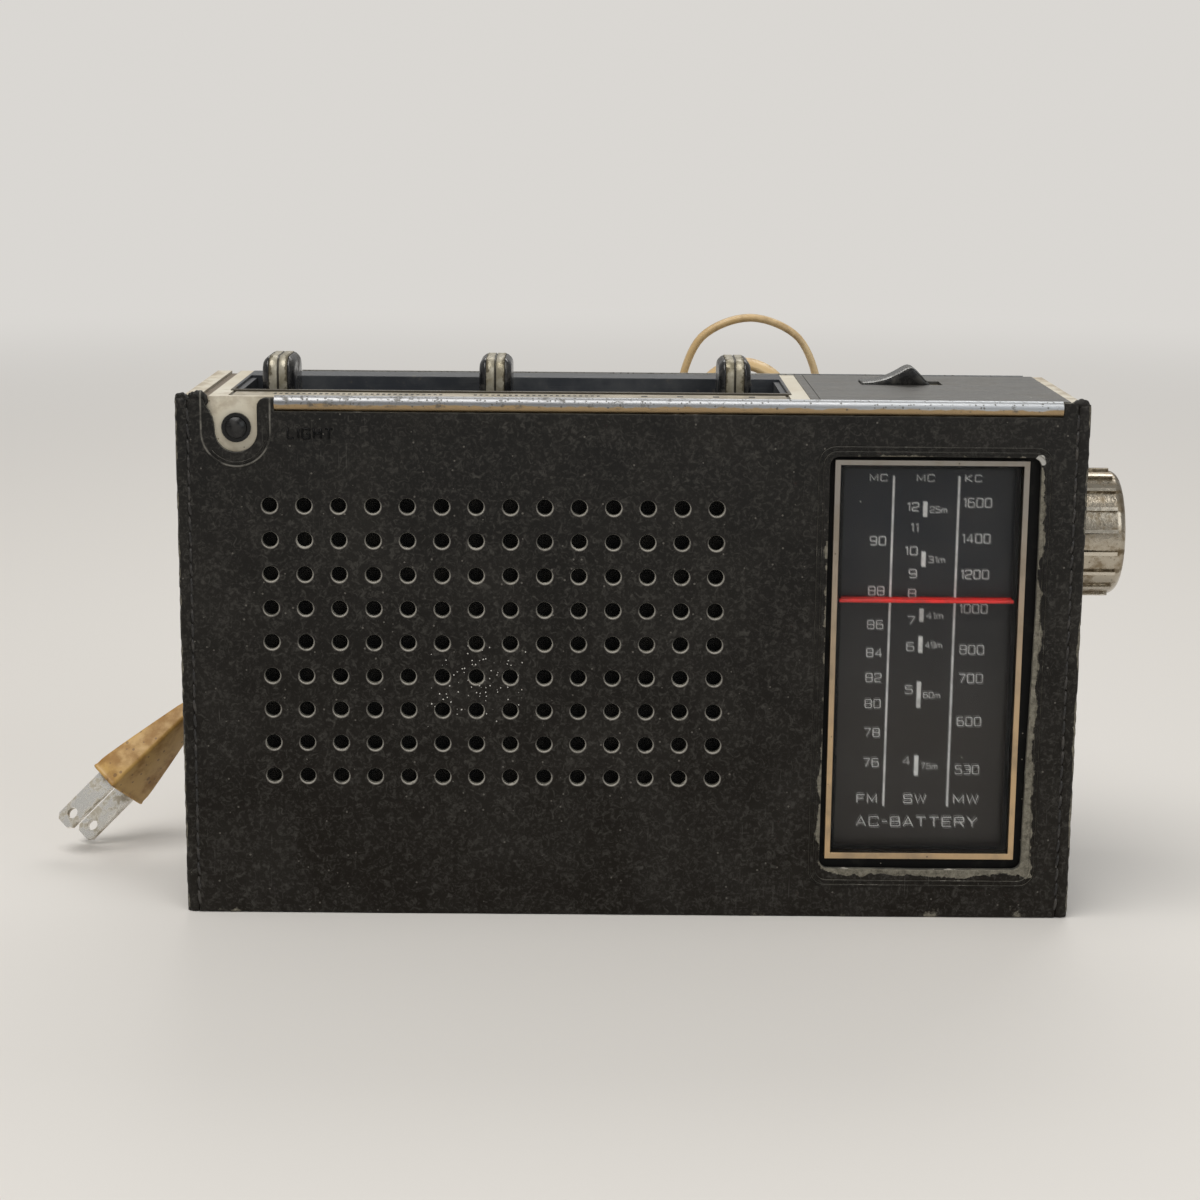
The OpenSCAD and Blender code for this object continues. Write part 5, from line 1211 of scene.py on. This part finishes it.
for name in ("volume", "tone", "band"):
    low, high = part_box(name + "_lever_band")
    middle = (low.x + high.x) / 2
    knob = lofted(name + "_knob", lever_rings(name + "_lever_band", middle / MM, BLACK_STEPS))
    folded = lofted(name + "_knob_band", lever_rings(name + "_lever_band", middle / MM, BAND_STEPS))
    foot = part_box(name + "_lever")[0].z / MM
    stem = stem_piece(name + "_knob_stem", Vector((middle / MM - 1.5, 0.1, foot)),
                      Vector((3.0, 2.4, 131.2 - foot)))
    m = Coat(name + "_band_plating", (0.40, 0.37, 0.29), 0.5, 0.45)
    off_middle = m.maths("ABSOLUTE", m.maths("SUBTRACT", m.along("X"), middle))
    edge_lean = m.ramp(off_middle, 0.0012, 0.00245, -0.12, 0.13)
    grime = m.patches(0.0024, 0.56, 0.07, edge_lean)
    faint = m.patches(0.005, 0.5, 0.15)
    tone = m.mix(faint, (0.43, 0.40, 0.32), (0.27, 0.24, 0.165))
    tone = m.mix(grime, tone, (0.075, 0.06, 0.032), 0.85)
    in_split = m.maths("LESS_THAN", off_middle, 0.0003)
    tone = m.mix(in_split, tone, (0.02, 0.017, 0.012), 0.9)
    m.colour(tone)
    m.rough(grime, 0.4, 0.68)
    pocks = m.noise(1500.0, 5.0)
    m.raised(m.maths("ADD", pocks, grime), 0.00008, 0.7)
    for piece, coat, slot in ((knob, lever_black, "black_plastic"), (stem, lever_black, "black_plastic"),
                              (folded, m, "lever_metal")):
        piece.data.materials.append(coat.material)
        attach(piece, name + "_lever")
    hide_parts(name + "_lever")
    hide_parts(name + "_lever_band")

# ---------------------------------------------------------------- power lever
# A short sliding lever shaped like a breaking wave: black moulded sides under a folded bright skin
# that runs over the crest. It slides in its slot in the switch plate.
lever_low, lever_high = (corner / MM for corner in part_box("power_lever"))
DECK = 138.6
CREST = Vector((lever_low.x + 0.72 * (lever_high.x - lever_low.x), lever_high.z - 0.38))
wave = []
for k in range(15):
    t = k / 14
    wave.append(Vector((lever_low.x + 0.05 + (CREST.x - lever_low.x) * t,
                        DECK + 0.35 + (CREST.y - DECK - 0.35) * t ** 2.2)))
for k in range(1, 11):
    t = k / 10
    wave.append(Vector((CREST.x + (lever_high.x - 0.05 - CREST.x) * t ** 0.85,
                        DECK + 0.35 + (CREST.y - DECK - 0.35) * (1 - t) ** 1.35)))
for _ in range(3):
    wave = ([wave[0]] + [(wave[i - 1] + wave[i] * 2 + wave[i + 1]) / 4 for i in range(1, len(wave) - 1)]
            + [wave[-1]])
crest_lift = (CREST.y - DECK) / (max(point.y for point in wave) - DECK)
wave = [Vector((point.x, DECK + (point.y - DECK) * crest_lift)) for point in wave]


def wave_loft(name, first, last, below, above, inset):
    """A slab under a stretch of the wave, with its two long edges rounded by the inset."""
    rings = []
    for i in range(first, last + 1):
        along = (wave[min(i + 1, len(wave) - 1)] - wave[max(i - 1, 0)]).normalized()
        rise = Vector((-along.y, along.x))
        top = wave[i] + rise * above
        floor = wave[i] + rise * (above - below) if below < 2 else Vector((wave[i].x, DECK - 2.0))
        ring = []
        for y, drop in (
                (lever_low.y, inset), (lever_low.y + inset * 0.3, inset * 0.3), (lever_low.y + inset, 0),
                (lever_high.y - inset, 0), (lever_high.y - inset * 0.3, inset * 0.3),
                (lever_high.y, inset)):
            spot = top - rise * drop
            ring.append(Vector((spot.x, y, spot.y)) * MM)
        ring += [Vector((floor.x, y, floor.y)) * MM for y in (lever_high.y, lever_low.y)]
        rings.append(ring)
    return lofted(name, rings)


power_body = wave_loft("power_lever_body", 0, len(wave) - 1, 9, 0.0, 0.3)
power_skin = wave_loft("power_lever_skin", 0, len(wave) - 3, 0.34, 0.3, 0.2)
power_stem = stem_piece("power_lever_stem", Vector((lever_low.x + 7.3, lever_low.y + 2.5, lever_low.z)),
                        Vector((4.0, 3.0, DECK - 1.8 - lever_low.z)))
m = skin_metal = Coat("skin_metal", (0.20, 0.20, 0.195), 0.26, 0.8)
rubbed = m.patches(0.004, 0.55, 0.1)
m.colour(m.mix(rubbed, (0.20, 0.20, 0.195), (0.07, 0.067, 0.06)))
m.rough(rubbed, 0.22, 0.46)
m.raised(m.noise(900.0, 4.0), 0.00005, 0.6)
for piece, material in ((power_body, lever_black), (power_stem, lever_black), (power_skin, skin_metal)):
    piece.data.materials.append(material.material)
    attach(piece, "power_lever")
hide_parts("power_lever")

# ---------------------------------------------------------------- light button
# A round black push button in a moulded ring, pressed from the front to light the dial.
m = Coat("button_black", (0.010, 0.010, 0.010), 0.3)
m.shader["Specular IOR Level"].default_value = 0.3
pressed = m.vectors("DISTANCE", m.at, (-0.1023, -0.0326, 0.1306))
centre_lean = m.ramp(pressed, 0.0005, 0.003, 0.12, -0.1)
rubbed = m.patches(0.0022, 0.56, 0.12, centre_lean)
m.colour(m.mix(rubbed, (0.006, 0.006, 0.006), (0.028, 0.027, 0.026)))
m.rough(rubbed, 0.26, 0.45)
m.raised(m.noise(1300.0, 3.0), 0.00004, 0.5)
m.cover("light_button", "button_ring")

# ---------------------------------------------------------------- dial
# A black moulded bezel holds an anodised frame, a clear window, the printed plate and two small lamps.
# The plate is screen printed with plain figures, two long rules and short bars for the wave bands.
m = Coat("bezel_black", (0.004, 0.004, 0.004), 0.6)
m.shader["Specular IOR Level"].default_value = 0.15
dusted = m.patches(0.006, 0.62, 0.12)
grit = m.specks(0.0026, 0.14, 0.4)
tone = m.mix(dusted, (0.0035, 0.0035, 0.0035), (0.05, 0.047, 0.04), 0.3)
m.colour(m.mix(grit, tone, (0.26, 0.24, 0.2)))
m.raised(m.noise(900.0, 4.0), 0.00006, 0.5)
m.cover("dial_bezel")

m = Coat("frame_anodised", (0.42, 0.35, 0.27), 0.36, 0.8)
frame_down = m.ramp(m.along("Z"), 0.112, 0.045)
tone = m.mix(frame_down, (0.31, 0.285, 0.255), (0.56, 0.395, 0.225))
fading_and_reflection = m.patches(0.01, 0.55, 0.14)
tone = m.mix(fading_and_reflection, tone, (0.24, 0.2, 0.15), 0.5)
chips = m.specks(0.0024, 0.12, 0.3)
tone = m.mix(chips, tone, (0.1, 0.085, 0.065), 0.8)
m.colour(tone)
m.rough(fading_and_reflection, 0.32, 0.48)
m.raised(m.noise(1.0, 3.0, at=m.stretched((900, 900, 60))), 0.00004, 0.6)
frame_low, frame_high = (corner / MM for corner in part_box("dial_frame"))


def frame_loop(y, side, bottom, top):
    """The four corners of a rectangle that lies inside the frame's outline."""
    left, right = frame_low.x + side, frame_high.x - side
    low, high = frame_low.z + bottom, frame_high.z - top
    return [(left, y, low), (right, y, low), (right, y, high), (left, y, high)]


thin_frame = mitred_ring("thin_frame", [
    frame_loop(frame_high.y, 0.02, 0.02, 0.02), frame_loop(frame_low.y, 0.02, 0.02, 0.02),
    frame_loop(frame_low.y, 1.42, 1.6, 1.3), frame_loop(frame_low.y + 0.4, 1.58, 1.78, 1.45),
    frame_loop(frame_high.y, 1.62, 1.82, 1.5)], 0.07)
inside_face = m.effect(beyond, Centre=(0.0776, 0.0, 0.06995), Half=(0.02368, 0.1, 0.05213))
inside_face = m.maths("LESS_THAN", inside_face, 0.0)
m.colour(m.mix(inside_face, tone, (0.035, 0.026, 0.018)))
thin_frame.data.materials.append(m.material)
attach(thin_frame, "radio")
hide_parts("dial_frame")

m = Coat("dial_glass", (0.84, 0.86, 0.88), 0.05)
m.shader["Transmission Weight"].default_value = 1.0
m.shader["IOR"].default_value = 1.4
m.shader["Alpha"].default_value = 0.22
smudged = m.patches(0.014, 0.56, 0.12)
m.rough(smudged, 0.02, 0.07)
m.raised(m.noise(1.0, at=m.stretched((2400, 10, 90), (0, 0.5, 0))), 0.00002, 0.25)
m.cover("dial_lens")

m = Coat("plate_ink", (0.007, 0.0085, 0.012), 0.34)
m.shader["Specular IOR Level"].default_value = 0.3
plate_down = m.ramp(m.along("Z"), 0.1, 0.05)
tone = m.mix(plate_down, (0.0075, 0.0095, 0.0135), (0.022, 0.0185, 0.0155))
aged = m.patches(0.018, 0.55, 0.16)
tone = m.mix(aged, tone, (0.032, 0.030, 0.028), 0.5)
dust = m.specks(0.0058, 0.06, 0.35)
m.colour(m.mix(dust, tone, (0.5, 0.48, 0.44)))
m.raised(aged, 0.00002, 0.4)
m.cover("dial_plate")

PRINT_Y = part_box("dial_plate")[0].y / MM
dial_print = bmesh.new()


def printed(points, half, front=PRINT_Y - 0.035, behind=PRINT_Y + 0.01):
    """A stroke of printing ink: a thin flat ribbon along points in mm on the plate's face."""
    closed = (points[0] - points[-1]).length < 0.001
    points = points[:-1] if closed else points
    count = len(points)
    sections = []
    for i, point in enumerate(points):
        before = points[i - 1] if i or closed else point
        after = points[(i + 1) % count] if i < count - 1 or closed else point
        into = (point - before).normalized() if before != point else (after - point).normalized()
        out = (after - point).normalized() if after != point else into
        side = Vector((-(into + out).y, (into + out).x)).normalized()
        reach = half / max(side.dot(Vector((-into.y, into.x))), 0.62)
        left, right = point + side * reach, point - side * reach
        sections.append([dial_print.verts.new(Vector((p.x, y, p.y)) * MM)
                         for p, y in ((left, front), (right, front), (right, behind), (left, behind))])
    skinned(dial_print, sections, closed)
    if not closed:
        dial_print.faces.new(sections[0])
        dial_print.faces.new(sections[-1][::-1])


def printed_text(text, x, z, height, width, half, gap=1.7, anchor=0.5):
    for stroke in lettering(text, (x, z - height / 2), height, width, gap, anchor):
        printed(stroke, half)


for text, z in (("90", 101.4), ("88", 88.0), ("86", 78.9), ("84", 71.3), ("82", 64.5), ("80", 57.4),
                ("78", 49.5), ("76", 41.2)):
    printed_text(text, 64.7, z, 2.2, 4.0, 0.115)
for text, z in (("12", 110.5), ("11", 105.0), ("10", 98.8), ("9", 92.7), ("8", 87.4), ("7", 80.1),
                ("6", 73.0), ("5", 61.3), ("4", 41.8)):
    printed_text(text, 75.1, z, 2.1, {"12": 2.9, "11": 1.8, "10": 3.1}.get(text, 1.85), 0.115, anchor=1.0)
for text, z in (("1600", 111.7), ("1400", 102.2), ("1200", 92.6), ("1000", 83.4), ("800", 72.3),
                ("700", 64.5), ("600", 52.7), ("530", 39.4)):
    printed_text(text, 90.5, z, 2.3, 7.2 if len(text) == 4 else 6.2, 0.115)
for text, low, high in (("25m", 107.9, 111.9), ("31m", 94.6, 98.6), ("41m", 79.8, 83.3),
                        ("49m", 71.4, 75.8), ("60m", 56.4, 63.5), ("75m", 37.7, 43.2)):
    printed([Vector((76.85, low)), Vector((76.85, high))], 0.55)
    printed_text(text, 80.3, (low + high) / 2 - 0.1, 1.55, 4.3, 0.085)
for text, x, width in (("MC", 64.4, 4.4), ("MC", 76.7, 4.4), ("KC", 89.2, 4.1)):
    printed_text(text, x, 118.15, 1.7, width, 0.1, 2.0)
for text, x, width in (("FM", 63.9, 5.2), ("SW", 76.8, 5.9), ("MW", 90.5, 6.5)):
    printed_text(text, x, 31.2, 2.2, width, 0.14, 1.8)
printed_text("AC-BATTERY", 77.5, 24.85, 2.5, 32.4, 0.15, 1.6)
for x in (68.4, 85.5):
    printed([Vector((x, 29.2)), Vector((x, 118.7))], 0.25)
dial_print = mesh_object("dial_printing", dial_print, smooth=False)
m = Coat("print_white", (0.36, 0.355, 0.34), 0.5)
thin = m.patches(0.003, 0.56, 0.14)
m.colour(m.mix(thin, (0.66, 0.66, 0.64), (0.42, 0.415, 0.40)))
m.raised(thin, -0.00001, 0.5)
dial_print.data.materials.append(m.material)
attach(dial_print, "radio")

m = Coat("pointer_red", (0.80, 0.022, 0.018), 0.35)
fading_and_reflection = m.patches(0.007, 0.56, 0.14)
m.colour(m.mix(fading_and_reflection, (0.86, 0.02, 0.016), (0.50, 0.03, 0.022)))
m.raised(m.noise(1500.0), 0.00003, 0.4)
m.cover("dial_pointer")
blade_z = (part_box("dial_pointer")[0].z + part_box("dial_pointer")[1].z) / 2 / MM
pointer_blade = stem_piece("pointer_blade", Vector((54.7, -29.35, blade_z - 0.45)),
                           Vector((45.8, 2.3, 0.9)))
pointer_blade.data.materials.append(m.material)
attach(pointer_blade, "pointer")

# ---------------------------------------------------------------- tuning knob
# A plated turned knob with eighteen raised ribs and a dished end, pressed on the tuning shaft. The
# plating is pitted between the ribs. The darker brown along the feet of the ribs is painted shade with a
# painted warm reflection of the table, and the rib tops are painted lighter: partly a brighter satin
# finish, partly a painted highlight.
HALF_RIB = math.radians(10)
RIB_ROOT = 0.01725
KNOB_AXIS = Vector(((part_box("tuning_knob")[0].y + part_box("tuning_knob")[1].y) / 2,
                    (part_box("tuning_knob")[0].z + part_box("tuning_knob")[1].z) / 2))
m = Coat("knob_plating", (0.58, 0.56, 0.51), 0.28, 1.0)
from_axis = m.vectors("SUBTRACT", m.at, (0.125, KNOB_AXIS.x, KNOB_AXIS.y))
from_axis = m.vectors("MULTIPLY", from_axis, (0.0, 1.0, 1.0))
radius = m.vectors("LENGTH", from_axis)
turn_part = m.parts("ShaderNodeSeparateXYZ", {0: from_axis})
angle = m.maths("ARCTAN2", turn_part[1], turn_part[2])
angle = m.node("ShaderNodeMath", {0: angle, 1: HALF_RIB, 2: -HALF_RIB}, operation="WRAP")
from_rib = m.maths("MULTIPLY", m.maths("ABSOLUTE", angle), 0.0171)
# Darker brown along the rib feet: painted shade with a painted warm reflection of the table.
rib_foot = m.ramp(from_rib, 0.0005, 0.0013, 0.06, -0.1)
below_rib = m.maths("LESS_THAN", radius, RIB_ROOT)
foot_shade_and_reflection = m.patches(0.0022, 0.58, 0.09, rib_foot)
foot_shade_and_reflection = m.maths("MULTIPLY", foot_shade_and_reflection, below_rib)
pits = m.specks(0.0011, 0.3, 0.34)
mottled = m.patches(0.0035, 0.54, 0.12)
tone = m.mix(mottled, (0.45, 0.405, 0.33), (0.25, 0.20, 0.135))
tone = m.mix(foot_shade_and_reflection, tone, (0.13, 0.095, 0.05), 0.75)
tone = m.mix(pits, tone, (0.15, 0.125, 0.09), 0.7)
# Lighter rib tops: partly a brighter satin finish, partly a painted highlight.
rib_top = m.maths("GREATER_THAN", radius, RIB_ROOT)
tone = m.mix(rib_top, tone, (0.64, 0.59, 0.50), 0.8)
m.colour(tone)
m.rough(m.maths("ADD", m.spread(mottled, 0.2, 0.36), m.spread(foot_shade_and_reflection, 0.0, 0.25)))
turned_marks = m.noise(1100.0, 5.0)
m.raised(m.maths("SUBTRACT", turned_marks, pits), 0.00008, 0.7)
m.cover("tuning_knob")

# ---------------------------------------------------------------- inside the cabinet
# Speaker, slide controls, tuning drive, circuit board, aerial, transformer and battery compartment,
# seen only with the case open. Each keeps its packed form and gets a finish with age of its own.


def aged(name, pieces, fresh, worn, rough, metal=0.0, size=0.006, grit=900.0, depth=0.00006):
    """One finish for a few pieces: two tones in patches, a scatter of specks and a fine surface."""
    m = Coat(name, fresh, rough, metal)
    patches = m.patches(size, 0.55, 0.12)
    dots = m.specks(size * 0.4, 0.18, 0.2)
    mixed = m.mix(patches, fresh, worn)
    m.colour(m.mix(dots, mixed, tuple(0.4 * c for c in worn), 0.6))
    m.rough(patches, rough, min(rough + 0.18, 1))
    m.raised(m.noise(grit, 4.0), depth, 0.6)
    m.cover(*pieces)
    return m


# Black open-weave cloth glued over the speaker window: two crossed sets of threads.
m = aged("grille_weave", ["grille_cloth"], (0.012, 0.012, 0.012), (0.03, 0.028, 0.025), 0.9)
warp = m.waves(480.0, "X")
weft = m.waves(480.0, "Z")
m.raised(m.maths("MAXIMUM", warp, weft), 0.0003, 1.0)

# Pressed hardboard, paper cone, ferrite ring and the zinc-plated steel basket of the speaker.
aged("hardboard", ["baffle_board"], (0.13, 0.075, 0.038), (0.19, 0.12, 0.065), 0.78, grit=1400.0,
     depth=0.00012)
aged("cone_paper", ["speaker_cone"], (0.02, 0.02, 0.02), (0.045, 0.042, 0.038), 0.85, grit=700.0,
     depth=0.0001)
aged("ferrite", ["speaker_magnet", "ferrite_rod"], (0.035, 0.035, 0.037), (0.07, 0.062, 0.055), 0.6,
     size=0.004)
aged("zinc_plate", ["speaker_frame", "pointer_rail"], (0.50, 0.50, 0.47), (0.34, 0.31, 0.25), 0.36, 1.0,
     size=0.009)
aged("ground_steel", ["tuning_shaft"], (0.56, 0.56, 0.55), (0.30, 0.25, 0.20), 0.24, 1.0, size=0.003)
aged("turned_brass", ["shaft_bush"], (0.60, 0.44, 0.17), (0.30, 0.20, 0.08), 0.32, 1.0, size=0.003)
aged("pressed_can", ["volume_control", "tone_control", "band_switch", "power_switch"], (0.42, 0.42, 0.40),
     (0.24, 0.23, 0.20), 0.42, 0.9, size=0.005)
aged("capacitor_case", ["tuning_capacitor"], (0.60, 0.62, 0.58), (0.42, 0.38, 0.26), 0.35, size=0.006)
aged("nylon", ["dial_drum", "drive_pulleys"], (0.66, 0.62, 0.52), (0.50, 0.43, 0.30), 0.5, size=0.009)
aged("battery_moulding", ["battery_box"], (0.016, 0.016, 0.017), (0.06, 0.056, 0.05), 0.5, size=0.012)
aged("switch_laminate", ["light_switch"], (0.20, 0.11, 0.045), (0.12, 0.065, 0.03), 0.55, size=0.004)

# The dial cord is braided round its own axis, so its fine relief runs across it at a slant.
m = aged("braided_cord", ["dial_cord"], (0.62, 0.56, 0.42), (0.36, 0.30, 0.19), 0.8, size=0.004)
braid = m.waves(900.0, "DIAGONAL", 2.0)
m.raised(braid, 0.00015, 0.9)

# Phenolic board with a solder-side sheen, and the transformer's varnished laminations.
aged("phenolic_board", ["circuit_board"], (0.27, 0.15, 0.055), (0.19, 0.10, 0.035), 0.4, size=0.008)
m = aged("laminations", ["power_transformer"], (0.16, 0.155, 0.15), (0.20, 0.12, 0.06), 0.5, 0.6)
stack = m.waves(330.0, "Y")
m.raised(stack, 0.0002, 0.8)

# Enamelled wire wound in close turns along the aerial rod.
m = aged("enamelled_wire", ["aerial_coil"], (0.42, 0.16, 0.05), (0.27, 0.10, 0.035), 0.28, 0.7)
turns = m.waves(640.0, "X")
m.raised(turns, 0.0003, 1.0)

# Plain wrapped cells, and the two small bulbs behind the dial plate.
aged("cell_wrap", ["battery_cells"], (0.03, 0.07, 0.19), (0.10, 0.12, 0.17), 0.34, size=0.014)
m = Coat("bulb_glass", (0.92, 0.86, 0.72), 0.08)
m.shader["Transmission Weight"].default_value = 0.9
darkened = m.patches(0.003, 0.56, 0.12)
m.colour(m.mix(darkened, (0.95, 0.90, 0.78), (0.42, 0.36, 0.27)))
m.raised(darkened, 0.00002, 0.4)
m.cover("dial_lamps")
